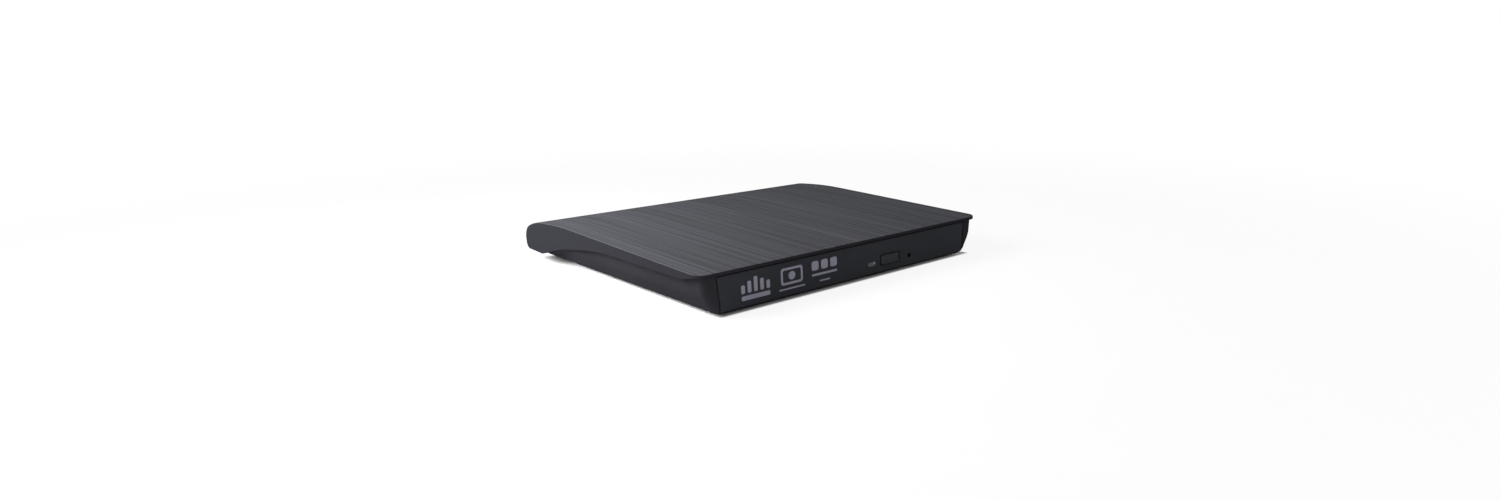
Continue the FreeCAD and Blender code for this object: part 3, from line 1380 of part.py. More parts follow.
# Traverse unit
def make_traverse_frame():
    """Cast frame: floor, upstand, pickup opening, rod cradles, damper ears and bosses."""
    inset = FRAME_INSET
    low, high = frame_bottom, frame_top
    radius = recess_radius - PLATE_LEDGE - inset
    body = plate_footprint(-inset, -inset, radius, low, high)
    shrink = -inset - FRAME_WALL
    hollow = plate_footprint(shrink, shrink, radius - FRAME_WALL, frame_floor, high + 1)
    body = body.cut(hollow)
    adds = []
    for across, end in ROD_ENDS.items():
        outer = across + (3.0 if across > 0 else -2.4)
        inner = across - (2.0 if across > 0 else -2.0)
        adds.append(in_feed(box(40.0, end, min(outer, inner), max(outer, inner), low, frame_floor)))
        for out in (ROD_START, end - ROD_CRADLE):
            near, far = across - 1.8, across + 1.8
            adds.append(in_feed(box(out, out + ROD_CRADLE, near, far, low, rod_height + 0.5)))
    adds += motor_bosses() + plate_posts()
    high_bracket = rod_height + BEARING_HALF
    adds.append(in_feed(box(-9.5, -8.4, SLOT_ACROSS - 2.6, SLOT_ACROSS + 2.6, low, high_bracket)))
    near, far = SLOT_ACROSS - 1.9, SLOT_ACROSS + 1.9
    adds.append(in_feed(box(screw_end - 1.6, screw_end, near, far, low, high_bracket)))
    window = in_feed(box(13.0, BIG, -WINDOW_LEFT - 2.0, WINDOW_RIGHT + 2.0, 0, BIG))
    body = body.cut(in_feed(pickup_sweep())).multiFuse(adds)
    motor_hole = rod(ROTOR_RADIUS - 3.5, 0, BIG, SPINDLE_X, spindle_y)
    room = MOTOR_RADIUS + 0.2
    motor_bay = in_feed(box(-8.4, 8.0, SLOT_ACROSS - room, SLOT_ACROSS + room, 0, BIG))
    cuts = [window, motor_hole, motor_bay]
    for across, end in ROD_ENDS.items():
        cuts.append(in_feed(rod_along_x(ROD_RADIUS + 0.01, ROD_START + 0.5, end - 0.5, across, rod_height)))
    cuts.append(in_feed(rod_along_x(SCREW_RADIUS + 0.1, 20.0, screw_end - 1.6, SLOT_ACROSS, rod_height)))
    journal = rod_along_x(SCREW_JOURNAL_RADIUS + ROD_GAP, 20.0, screw_end - 0.5, SLOT_ACROSS, rod_height)
    cuts.append(in_feed(journal))
    for out, across in DAMPER_PLACES:
        cuts.append(in_feed(rod(DAMPER_NECK + 0.02, 0, BIG, out, across)))
        cuts.append(in_feed(rod(DAMPER_RADIUS + 0.3, frame_floor, BIG, out, across)))
    return body.cut(Part.makeCompound(cuts))


def pickup_sweep():
    """Space that the pickup's bearings, fork and nut pass through, open through the floor."""
    low = rod_height - BEARING_HALF - 0.3
    start = ROD_START + ROD_CRADLE + 0.1
    main_end = ROD_ENDS[MAIN_ROD_ACROSS] - ROD_CRADLE
    side_end = ROD_ENDS[SIDE_ROD_ACROSS] - ROD_CRADLE
    main = box(start, main_end, 11.5, MAIN_ROD_ACROSS + BEARING_HALF + 2.0, low, BIG)
    nut = box(10.0, screw_end - 2.0, MAIN_ROD_ACROSS, SLOT_ACROSS + 2.4, low, BIG)
    side = box(start, side_end, SIDE_ROD_ACROSS - 2.6, -8.0, low, BIG)
    return main.multiFuse([nut, side])


def motor_bosses():
    """Bosses under the spindle motor's base."""
    bosses = []
    for angle in MOTOR_SCREW_ANGLES:
        a = math.radians(angle)
        out, across, half = MOTOR_SCREW_RADIUS * math.cos(a), MOTOR_SCREW_RADIUS * math.sin(a), MOTOR_BOSS / 2
        boss = box(out - half, out + half, across - half, across + half, frame_bottom, frame_floor)
        bosses.append(in_feed(boss))
    return bosses


MOTOR_BOSS = 3.2
PLATE_POST = 2.6
PLATE_POSTS = (
    (5.0, -31.0),
    (DISC_RADIUS - 14.0, -26.0),
    (DISC_RADIUS - 8.2, SLOT_ACROSS - 0.2),
    (-22.0, -18.0),
    (18.0, 34.6),
    (-21.5, 10.0),
)


def plate_posts():
    """Square posts of the frame that carry the cover plate."""
    posts = []
    half = PLATE_POST / 2
    for out, across in PLATE_POSTS:
        post = box(out - half, out + half, across - half, across + half, frame_bottom, plate_bottom)
        posts.append(in_feed(post))
    return posts


def make_traverse_plate():
    """Raised plate round the turntable, with the pickup's window, the motor's slot and dimples."""
    edge = recess_radius - PLATE_LEDGE - 0.3
    plate = plate_footprint(0, 0, edge, plate_bottom, plate_top)
    window = in_feed(box(0.0, BIG, -WINDOW_LEFT, WINDOW_RIGHT, 0, BIG))
    window = window.common(rod(window_end, 0, BIG, SPINDLE_X, spindle_y))
    hub = rod(HUB_OPENING, 0, BIG, SPINDLE_X, spindle_y)
    start = SLOT_START - SLOT_LENGTH
    motor_slot = in_feed(slot(start, SLOT_START, SLOT_ACROSS, SLOT_WIDTH, 0, BIG))
    holes = [in_feed(rod(PLATE_HOLE_RADIUS, 0, BIG, out, across)) for out, across in PLATE_HOLES]
    low, high = plate_top - PLATE_DIMPLE, plate_top + 1
    dimples = [in_feed(rod(PLATE_DIMPLE_RADIUS, low, high, out, across)) for out, across in PLATE_DIMPLES]
    return plate.cut(Part.makeCompound([window, hub, motor_slot] + holes + dimples))


PLATE_DIMPLES = ((DISC_RADIUS - 4.4, -18.0), (28.7, 31.3), (14.0, 31.5))
PLATE_DIMPLE_RADIUS = 0.85
PLATE_DIMPLE = 0.25


def make_dampers():
    """Rubber grommets between the frame and the tray."""
    grommets = []
    for out, across in DAMPER_PLACES:
        place = feed_point(out, across)
        low, high = frame_floor, frame_floor + DAMPER_HEIGHT
        grommet = rod(DAMPER_RADIUS, low, high, place.x, place.y)
        grommets.append(grommet.fuse(rod(DAMPER_NECK, frame_bottom, low, place.x, place.y)))
    return grommets


def damper_screws():
    """Plain heads of the shoulder screws in the grommets."""
    heads = []
    low = frame_floor + DAMPER_HEIGHT
    for out, across in DAMPER_PLACES:
        place = feed_point(out, across)
        high = low + DAMPER_SCREW_HEAD
        heads.append(screw_head(DAMPER_SCREW_HEAD_RADIUS, low, high, place.x, place.y))
    return heads


def make_guide_rods():
    """Two polished rods that the pickup runs on."""
    rods = []
    for across, end in ROD_ENDS.items():
        rods.append(in_feed(rod_along_x(ROD_RADIUS, ROD_START + 0.6, end - 0.6, across, rod_height)))
    return rods


# Spindle
motor_base_low = frame_floor
motor_base_top = motor_base_low + MOTOR_BASE
rotor_low = motor_base_top + 0.5
turntable_top = disc_seat - MAT_THICKNESS


def make_motor_base():
    """Round base with three ears, bearing sleeve and the stator's wound teeth."""
    base = rod(MOTOR_BASE_RADIUS - 2.0, motor_base_low, motor_base_top)
    parts = [rod(BEARING_RADIUS, motor_base_low, rotor_low + 2.2)]
    half = MOTOR_EAR / 2
    for angle in MOTOR_SCREW_ANGLES:
        ear = box(0, MOTOR_SCREW_RADIUS + half, -half, half, motor_base_low, motor_base_top)
        ear.rotate(Vector(), Vector(0, 0, 1), angle)
        parts.append(ear)
    half = STATOR_TOOTH / 2
    for i in range(STATOR_TEETH):
        tooth = box(1.5, STATOR_RADIUS, -half, half, motor_base_top, rotor_low + 1.6)
        tooth.rotate(Vector(), Vector(0, 0, 1), 360.0 * i / STATOR_TEETH)
        parts.append(tooth)
    return in_feed(base.multiFuse(parts).cut(rod(SHAFT_RADIUS + SHAFT_GAP, 0, BIG)))


def motor_screws():
    """Plain heads of the screws that hold the motor's base."""
    heads = []
    high = motor_base_top + MOTOR_SCREW_HEAD
    for angle in MOTOR_SCREW_ANGLES:
        a = math.radians(angle)
        place = feed_point(MOTOR_SCREW_RADIUS * math.cos(a), MOTOR_SCREW_RADIUS * math.sin(a))
        heads.append(screw_head(MOTOR_SCREW_HEAD_RADIUS, motor_base_top, high, place.x, place.y))
    return heads


def make_rotor():
    """Rotor cup, shaft and turntable in one turned piece."""
    cup = rod(ROTOR_RADIUS, rotor_low, turntable_top - TURNTABLE + 0.1)
    cup = cup.cut(rod(ROTOR_RADIUS - ROTOR_WALL, 0, rotor_low + 2.6))
    shaft = rod(SHAFT_RADIUS, motor_base_low + 0.3, turntable_top)
    table = rod(TURNTABLE_RADIUS, turntable_top - TURNTABLE, turntable_top)
    ledge = rod(TURNTABLE_RADIUS - MAT_WIDTH - 0.6, turntable_top - 0.2, disc_seat)
    table = table.fuse(ledge)
    return placed(cup.multiFuse([shaft, table]))


def placed(shape):
    """Place a shape that was made about the spindle's axis."""
    shape = shape.copy()
    shape.Placement = SPINDLE.multiply(shape.Placement)
    return shape


def make_turntable_mat():
    """Rubber ring that the disc rests on."""
    outer = TURNTABLE_RADIUS - 0.2
    ring = rod(outer, turntable_top, disc_seat).cut(rod(outer - MAT_WIDTH, 0, BIG))
    return placed(ring)


def hub_blank():
    """Hub's outside: a cylinder with a domed, tapered top."""
    r, low = HUB_RADIUS, disc_seat
    top = low + HUB_HEIGHT
    side = [(0.0, low), (r, low), (r, low + 1.2), (r - 0.35, low + 1.65), (r - 1.6, top), (0.0, top)]
    face = Part.Face(outline(side))
    face.rotate(Vector(), Vector(1, 0, 0), 90)
    return face.revolve(Vector(), Vector(0, 0, 1), 360)


def pawl_cell(grow):
    """Space of one pawl at angle 0, with its travel when grown."""
    inner = HUB_RADIUS - 3.2 - (PAWL_TRAVEL + 0.1 if grow else 0)
    half = PAWL_WIDTH / 2 + (PAWL_GAP if grow else 0)
    low = disc_seat + 0.25 - (0.1 if grow else 0)
    high = disc_seat + 0.25 + PAWL_HEIGHT + (PAWL_GAP if grow else 0)
    outer = HUB_RADIUS + PAWL_PROUD + (1.0 if grow else 0)
    return box(inner, outer, -half, half, low, high)


def make_disc_hub():
    """Hub that centres the disc, with cells for the pawls and slits beside them."""
    hub = hub_blank()
    half = HUB_SLIT / 2
    cuts = []
    for i in range(PAWL_COUNT):
        cell = pawl_cell(True)
        cell.rotate(Vector(), Vector(0, 0, 1), 360.0 * i / PAWL_COUNT)
        cuts.append(cell)
        slit = box(HUB_SLIT_START, HUB_RADIUS - 1.2, -half, half, disc_seat + 1.0, BIG)
        slit.rotate(Vector(), Vector(0, 0, 1), 360.0 * (i + 0.5) / PAWL_COUNT)
        cuts.append(slit)
    well = Part.makeCone(2.0, 2.8, 1.0, Vector(0, 0, disc_seat + HUB_HEIGHT - 0.9))
    return placed(hub.cut(Part.makeCompound(cuts + [well])))


def make_pawl(index):
    """Sprung pawl that grips the disc's hole, with a sloped nose."""
    body = pawl_cell(False)
    nose_x = HUB_RADIUS + PAWL_PROUD
    z_mid = disc_seat + 0.25 + PAWL_HEIGHT * 0.55
    inner, outer = nose_x - 1.6, nose_x + 0.2
    slope_top = [(inner, z_mid + 0.7), (outer, z_mid - 0.05), (outer, z_mid + 1.4), (inner, z_mid + 1.4)]
    body = body.cut(prism_along_y(slope_top, -5, 5))
    slope_low = [(nose_x - 0.6, disc_seat), (outer, disc_seat), (outer, z_mid - 0.1)]
    body = body.cut(prism_along_y(slope_low, -5, 5))
    body.rotate(Vector(), Vector(0, 0, 1), 360.0 * index / PAWL_COUNT)
    return placed(body)


# Pickup, made in the feed frame about the lens's rest place
def make_pickup_body():
    """Cast body with rod bearings, a fork, a lens well and a nut arm."""
    s = LENS_REST
    low, high = pickup_bottom, pickup_top
    corners = [
        (s - 8.0, -9.0, 0.8),
        (s - 8.0, 8.6, 1.0),
        (s - 5.4, 13.0, 1.0),
        (s + 7.4, 13.0, 1.2),
        (s + 8.6, 9.6, 0.8),
        (s + 8.6, -9.0, 1.2),
    ]
    body = prism(corners, low, high)
    bearings = []
    rod_low, rod_high = rod_height - BEARING_HALF, rod_height + BEARING_HALF
    for out in (s - 6.0, s - 1.2):
        bearings.append(box(out, out + 2.6, 12.6, MAIN_ROD_ACROSS + BEARING_HALF, rod_low, rod_high))
    fork = box(s - 2.2, s + 2.2, SIDE_ROD_ACROSS - BEARING_HALF, -8.0, rod_low, rod_high)
    nut_arm = MAIN_ROD_ACROSS + BEARING_HALF
    arm = box(s - 6.0, s - 3.4, nut_arm - 0.2, nut_arm + 1.6, rod_low, rod_high - 0.6)
    reach = box(s - NUT_BACK, s - 3.4, nut_arm + 0.6, nut_arm + 1.6, rod_low + 0.4, rod_high - 0.6)
    corners = [(s + 8.0, -6.6), (s + 8.0, 8.4), (s + 10.2, 8.4), (s + 15.2, 2.6), (s + 15.2, -6.6)]
    tongue = prism(corners, high - 1.5, high)
    body = body.multiFuse(bearings + [fork, arm, reach, tongue])
    well = slot(s - 3.9, s + 3.9, 0, 6.4, low + 0.6, high + 1)
    room = ROD_RADIUS + ROD_GAP
    fork_near, fork_far = SIDE_ROD_ACROSS - 5, SIDE_ROD_ACROSS + ROD_RADIUS + 0.6
    cuts = [
        well,
        rod(PICKUP_INNER_ARC, 0, BIG),
        rod_along_x(room, s - 20, s + 20, MAIN_ROD_ACROSS, rod_height),
        box(s - 20, s + 20, fork_near, fork_far, rod_height - room, rod_height + room),
        rod_along_x(1.6, s - 20, s - 6.0, 9.6, low + 1.4),
    ]
    return in_feed(body.cut(Part.makeCompound(cuts)))


def make_pickup_cover():
    """Pressed plate over the actuator, with the lens opening and square holes."""
    s = LENS_REST
    low, high = pickup_top, pickup_top + PICKUP_COVER
    corners = [(s - 7.0, -7.1, 0.5), (s - 7.0, 6.4, 0.5), (s + 7.4, 6.4, 0.8), (s + 7.4, -6.3, 0.8)]
    plate = prism(corners, low, high)
    opening = box(s - 4.1, s + 3.4, -3.4, 2.1, 0, BIG)
    half = PICKUP_SQUARE / 2
    places = ((s + 4.6, 4.6), (s - 1.6, 4.6), (s + 5.2, -4.9))
    holes = [box(a - half, a + half, b - half, b + half, 0, BIG) for a, b in places]
    return in_feed(plate.cut(Part.makeCompound([opening, rod(PICKUP_INNER_ARC + 0.2, 0, BIG)] + holes)))


def make_pickup_shield():
    """Moulded optical cover beside the actuator, with adjustment holes."""
    s = LENS_REST
    low, high = pickup_top, pickup_top + PICKUP_PLATE
    corners = [(s - 7.8, 6.8, 1.2), (s - 7.8, 12.0, 1.4), (s + 7.0, 12.2, 0.8), (s + 7.2, 6.9, 0.6)]
    shield = prism(corners, low, high)
    places = ((4.6, 8.6), (0.6, 8.0), (-3.4, 9.0))
    holes = [rod(0.4, 0, BIG, s + a, b) for a, b in places]
    return in_feed(shield.cut(Part.makeCompound([rod(PICKUP_INNER_ARC - 1.0, 0, BIG)] + holes)))


def make_heat_sink():
    """Ribbed plate on the pickup's outer end."""
    s = LENS_REST
    low, high = pickup_top, pickup_top + PICKUP_PLATE
    points = [
        (s + 8.3, -7.2),
        (s + 8.3, 9.0, 0.6),
        (s + 10.4, 9.2, 0.6),
        (s + 15.6, 3.0, 0.6),
        (s + 16.9, -2.0),
        (s + 16.9, -7.2),
    ]
    plate = prism(points, low, high)
    grooves = []
    for i in range(HEAT_SINK_GROOVES):
        start = s + 8.9 + HEAT_SINK_PITCH * i
        grooves.append(box(start, start + HEAT_SINK_GROOVE, -6.7, 12, high - PICKUP_PLATE / 2, high + 1))
    return in_feed(plate.cut(Part.makeCompound(grooves)))


def make_feed_nut():
    """Sprung nut that follows the lead screw's thread."""
    s = LENS_REST
    near = MAIN_ROD_ACROSS + BEARING_HALF + 1.6
    low, high = rod_height - BEARING_HALF, rod_height + BEARING_HALF
    nut = box(s - NUT_BACK, s - NUT_BACK + 4.0, near, SLOT_ACROSS + 1.8, low, high)
    gap = SCREW_RADIUS + 0.12
    bore = rod_along_x(gap, s - 20, s + 20, SLOT_ACROSS, rod_height)
    side = box(s - 20, s + 20, SLOT_ACROSS, SLOT_ACROSS + 5, rod_height - gap, rod_height + gap)
    return in_feed(nut.cut(bore.fuse(side)))


def make_lens_holder():
    """Holder of the lens, hung in the pickup's well."""
    s = LENS_REST
    half = LENS_HOLDER / 2
    low, high = pickup_bottom + 1.3, pickup_top + 0.1
    near, far = 0.2 - half, half - 0.7
    corners = [(s - 3.0, near, 0.6), (s + 2.6, near, 0.6), (s + 2.6, far, 0.6), (s - 3.0, far, 0.6)]
    holder = prism(corners, low, high)
    seat = rod(LENS_RADIUS + 0.03, high - 0.9, BIG, s - 0.2, -0.2)
    return in_feed(holder.cut(seat))


def make_lens():
    """Objective lens with a crowned top."""
    s = LENS_REST
    low = pickup_top - 0.7
    body = rod(LENS_RADIUS, low, low + 0.75, s - 0.2, -0.2)
    crown = Part.makeSphere(LENS_CROWN, Vector(s - 0.2, -0.2, low + 1.25 - LENS_CROWN))
    crown = crown.common(rod(LENS_RADIUS - 0.35, low, BIG, s - 0.2, -0.2))
    return in_feed(body.fuse(crown))


def make_pickup_flex():
    """Flat print from the pickup outwards along the window's edge."""
    s = LENS_REST
    low = pickup_top - 2.0
    far = window_end - 1.5
    points = [(s + 8.7, -6.8), (s + 8.7, -2.2), (far - 1.9, -2.6), (far, -4.0), (far, -7.0), (s + 18.0, -7.0)]
    return in_feed(prism(points, low, low + 0.12))


# Feed drive
def make_feed_motor():
    """Stepper can with its end cap, bored for the screw."""
    can = rod_along_x(MOTOR_RADIUS, -8.0, 6.0, SLOT_ACROSS, rod_height)
    cap = rod_along_x(MOTOR_RADIUS - 0.6, 6.0, 7.4, SLOT_ACROSS, rod_height)
    bore = rod_along_x(SCREW_JOURNAL_RADIUS + ROD_GAP, -6.0, 10.0, SLOT_ACROSS, rod_height)
    return in_feed(can.fuse(cap).cut(bore))


def make_lead_screw():
    """Lead screw between its plain ends, without its fine groove."""
    middle = rod_along_x(SCREW_RADIUS, SCREW_THREAD_START, screw_end - 2.0, SLOT_ACROSS, rod_height)
    core = rod_along_x(SCREW_JOURNAL_RADIUS, -5.5, screw_end - 0.6, SLOT_ACROSS, rod_height)
    return in_feed(core.fuse(middle))


def make_solenoid_plunger():
    """Plunger whose flat head has an eye for the lever's peg, drawn pulled in."""
    peg = Part.Vertex(peg_x, peg_y, 0)
    place = turned(peg, -LATCH_SWING).Point
    middle = (peg_x + place.x) / 2
    low, high = latch_high + 0.4, latch_high + 2.0
    head = box(middle - 1.25, middle + 1.25, place.y - 1.0, place.y + 0.9, low, high)
    end = solenoid_y0 + SOLENOID_LENGTH - 1.0
    shank = rod_along_y(PLUNGER_RADIUS, place.y + 0.8, end, peg_x, solenoid_z)
    half = LATCH_PEG_RADIUS + 0.12
    eye = box(middle - half - 0.1, middle + half + 0.1, place.y - half, place.y + half, low - 1, high + 1)
    flat = box(middle - 3, middle + 3, place.y - 2, place.y + 0.85, high, high + 3)
    return head.fuse(shank).cut(eye.fuse(flat))


# Flat cable
CABLE_SIDE_ROOM = 10.2
CABLE_WIDTH = 8.2
CABLE_THICKNESS = 0.2
CABLE_LIFT = 0.15
CABLE_FRONT_FOLD = 1.0
CABLE_REAR_FOLD = 2.6
CABLE_FRONT_GAP = 1.7
CABLE_REAR_GAP = 6.0
CABLE_RISE_GAP = 1.4
CABLE_END_INSET = 0.9
cable_x = tray_right + CABLE_SIDE_ROOM


def make_tray_cable():
    """Flat flexible cable from the main board to the tray, folded twice in the side bay."""
    t = CABLE_THICKNESS
    z1 = pan_floor + CABLE_LIFT
    z2 = z1 + CABLE_FRONT_FOLD
    z3 = z2 + CABLE_REAR_FOLD
    z4 = main_top + 0.4
    start, end = bay_front + 0.95, flange_rear - CABLE_END_INSET
    front, rear, rise = flange_rear + CABLE_FRONT_GAP, bay_front - CABLE_REAR_GAP, bay_front - CABLE_RISE_GAP
    tight, wide = CABLE_FRONT_FOLD / 2, CABLE_REAR_FOLD / 2
    points = [
        (start, z4), (rise + t, z4, 0.3), (rise + t, z1, 0.5), (front, z1, tight), (front, z2 + t, tight),
        (rear - t, z2 + t, wide - t), (rear - t, z3, wide - t), (end, z3), (end, z3 + t),
        (rear, z3 + t, wide), (rear, z2, wide), (front + t, z2, tight - t), (front + t, z1 + t, tight - t),
        (rise, z1 + t, 0.3), (rise, z4 + t, 0.5), (start, z4 + t),
    ]
    return prism_along_x(points, cable_x - CABLE_WIDTH / 2, cable_x + CABLE_WIDTH / 2)


def make_flex_connector():
    """Connector on the main board that clamps the flat cable."""
    x0, x1 = cable_x - CABLE_WIDTH / 2 - 0.6, cable_x + CABLE_WIDTH / 2 + 0.6
    body = box(x0, x1, bay_front + 1.0, bay_front + 4.0, main_top, main_top + 1.5)
    return body.makeChamfer(0.3, [e for e in body.Edges if e.BoundBox.ZMin > main_top + 1.4])


NODES = {
    "top_cover": make_top_cover,
    "bottom_shell": make_bottom_shell,
    "rubber_feet": make_rubber_feet,
    "case_screws": make_case_screws,
    "drive_screws": make_drive_screws,
    "bridge_board": make_bridge_board,
    "bridge_chips": make_bridge_chips,
    "usb_shell": make_usb_shell,
    "usb_tongue": make_usb_tongue,
    "bridge_connector": make_bridge_connector,
    "board_screws": make_board_screws,
    "drive_chassis": make_drive_chassis,
    "drive_lid": make_drive_lid,
    "lid_screws": make_lid_screws,
    "main_board": make_main_board,
    "main_board_chips": make_main_board_chips,
    "drive_connector": make_drive_connector,
    "flex_connector": make_flex_connector,
    "tray_flex": make_tray_cable,
    "left_guide": lambda: make_guide("left"),
    "right_guide": lambda: make_guide("right"),
    "left_rail": lambda: make_rail("left"),
    "right_rail": lambda: make_rail("right"),
    "latch_pin": make_latch_pin,
    "tray": make_tray,
    "under_cover": make_under_cover,
    "under_cover_screws": make_under_cover_screws,
    "front_bezel": make_front_bezel,
    "light_pipe": make_light_pipe,
    "lamp": make_lamp,
    "front_board": make_front_board,
    "button_switch": make_button_switch,
    "switch_plunger": make_switch_plunger,
    "eject_button": make_eject_button,
    "latch_hook": make_latch_hook,
    "latch_pivot": make_latch_pivot,
    "latch_solenoid": make_latch_solenoid,
    "solenoid_plunger": make_solenoid_plunger,
    "traverse_frame": make_traverse_frame,
    "traverse_plate": make_traverse_plate,
    "dampers": make_dampers,
    "traverse_screws": lambda: damper_screws() + motor_screws(),
    "guide_rods": make_guide_rods,
    "motor_base": make_motor_base,
    "rotor": make_rotor,
    "turntable_mat": make_turntable_mat,
    "disc_hub": make_disc_hub,
    "hub_pawl_1": lambda: make_pawl(0),
    "hub_pawl_2": lambda: make_pawl(1),
    "hub_pawl_3": lambda: make_pawl(2),
    "pickup_body": make_pickup_body,
    "pickup_cover": make_pickup_cover,
    "pickup_shield": make_pickup_shield,
    "heat_sink": make_heat_sink,
    "feed_nut": make_feed_nut,
    "pickup_flex": make_pickup_flex,
    "lens_holder": make_lens_holder,
    "lens": make_lens,
    "feed_motor": make_feed_motor,
    "lead_screw": make_lead_screw,
}


def export(name, made):
    """Write one node as a STEP file of closed solids."""
    pieces = made if isinstance(made, list) else [made]
    solids = [solid for piece in pieces for solid in piece.Solids]
    for solid in solids:
        if not solid.isValid() or not solid.isClosed():
            print("check", name)
    shape = solids[0] if len(solids) == 1 else Part.makeCompound(solids)
    shape.exportStep(f"parts/{name}.step")
    print(f"{name}: {len(solids)} solids, {sum(s.Volume for s in solids):.1f} mm3")


os.makedirs("parts", exist_ok=True)
for node_name, make in NODES.items():
    export(node_name, make())
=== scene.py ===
"""Looks of a slim external disc drive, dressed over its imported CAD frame."""

import logging
import math
from dataclasses import dataclass, field
from enum import Enum
from typing import Callable, Sequence

import bmesh
import bpy
from mathutils import Matrix, Vector


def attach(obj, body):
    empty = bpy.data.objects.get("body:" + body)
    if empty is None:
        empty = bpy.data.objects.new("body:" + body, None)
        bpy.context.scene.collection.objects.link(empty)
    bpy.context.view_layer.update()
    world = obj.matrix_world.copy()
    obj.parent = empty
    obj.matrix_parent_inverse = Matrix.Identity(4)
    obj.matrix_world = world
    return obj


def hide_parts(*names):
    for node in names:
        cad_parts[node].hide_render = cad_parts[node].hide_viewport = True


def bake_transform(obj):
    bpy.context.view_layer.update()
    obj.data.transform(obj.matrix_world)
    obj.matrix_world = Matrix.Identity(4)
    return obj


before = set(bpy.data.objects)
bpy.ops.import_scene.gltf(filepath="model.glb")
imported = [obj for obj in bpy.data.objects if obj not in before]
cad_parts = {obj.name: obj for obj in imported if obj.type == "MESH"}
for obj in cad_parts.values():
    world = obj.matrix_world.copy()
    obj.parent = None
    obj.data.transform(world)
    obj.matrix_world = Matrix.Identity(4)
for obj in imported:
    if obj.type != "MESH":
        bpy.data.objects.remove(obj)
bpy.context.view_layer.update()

log = logging.getLogger("disc_drive")

MM = 0.001
FULL_TURN = 2 * math.pi
SPINDLE = (2.0, -2.0)
FEED_TURN = math.radians(-128.3)
STRIP_UV = "strip"
WHITE = (1.0, 1.0, 1.0)
SHARP_ANGLE = 50.0
Colour = tuple[float, float, float]
Place = tuple[float, float, float]
Test = Callable[[Vector, Vector], bool]


class Body(Enum):
    """Bodies of the frame that new pieces ride on."""

    CASE = "enclosure"
    TRAY = "tray_body"
    SPINDLE = "spindle_body"
    PICKUP = "pickup_unit"
    SCREW = "screw_body"


class Slot(Enum):
    """Material slots of the record that new pieces take their finish from."""

    SHELL = "shell"
    BEZEL = "bezel"
    SCREW = "screw_steel"
    CHIP = "chip"
    SOCKET = "socket_metal"
    BLACK = "black_plastic"
    TRAY = "tray_plastic"
    PLATE = "plate_paint"
    FRAME = "frame_metal"
    ROD = "rod_steel"
    HUB = "hub_plastic"
    FLEX = "flex_print"


def feed_point(along: float, across: float, height: float) -> Place:
    """Turn a place measured from the spindle along the feed into the frame's millimetres.

    Args:
        along: Distance from the spindle towards the rim, along the pickup's travel.
        across: Distance to the side of that line.
        height: Height over the ground.

    Returns:
        The same place in the frame.
    """
    cos, sin = math.cos(FEED_TURN), math.sin(FEED_TURN)
    return (SPINDLE[0] + along * cos - across * sin, SPINDLE[1] + along * sin + across * cos, height)


def feed_place() -> Matrix:
    """Matrix, in metres, from the feed's own axes to the frame."""
    return Matrix.Translation((SPINDLE[0] * MM, SPINDLE[1] * MM, 0.0)) @ Matrix.Rotation(FEED_TURN, 4, "Z")


# Node trees


class Tree:
    """Node tree in which every node comes from one method."""

    def __init__(self, tree: bpy.types.NodeTree) -> None:
        """Wrap a tree."""
        self.tree = tree

    def node(self, kind: str, settings: dict | None = None, inputs: dict | None = None) -> bpy.types.Node:
        """Add one node.

        Args:
            kind: Blender's type name without its leading word.
            settings: Properties of the node, set before its sockets.
            inputs: Values or tones for its sockets, by name or number.

        Returns:
            The node.
        """
        node = self.tree.nodes.new("ShaderNode" + kind)
        for name, value in (settings or {}).items():
            setattr(node, name, value)
        for key, value in (inputs or {}).items():
            socket = node.inputs[key]
            if isinstance(value, Tone):
                self.tree.links.new(value.socket, socket)
            elif isinstance(value, tuple) and socket.type == "RGBA":
                socket.default_value = (*value, 1.0)
            else:
                socket.default_value = value
        return node

    def tone(self, kind: str, settings: dict | None = None, inputs: dict | None = None,
             output: int | str = 0) -> "Tone":
        """Add one node and wrap one of its outputs.

        Args:
            kind: Blender's type name without its leading word.
            settings: Properties of the node.
            inputs: Values or tones for its sockets.
            output: Name or number of the output.

        Returns:
            The output as a tone.
        """
        return Tone(self, self.node(kind, settings, inputs).outputs[output])


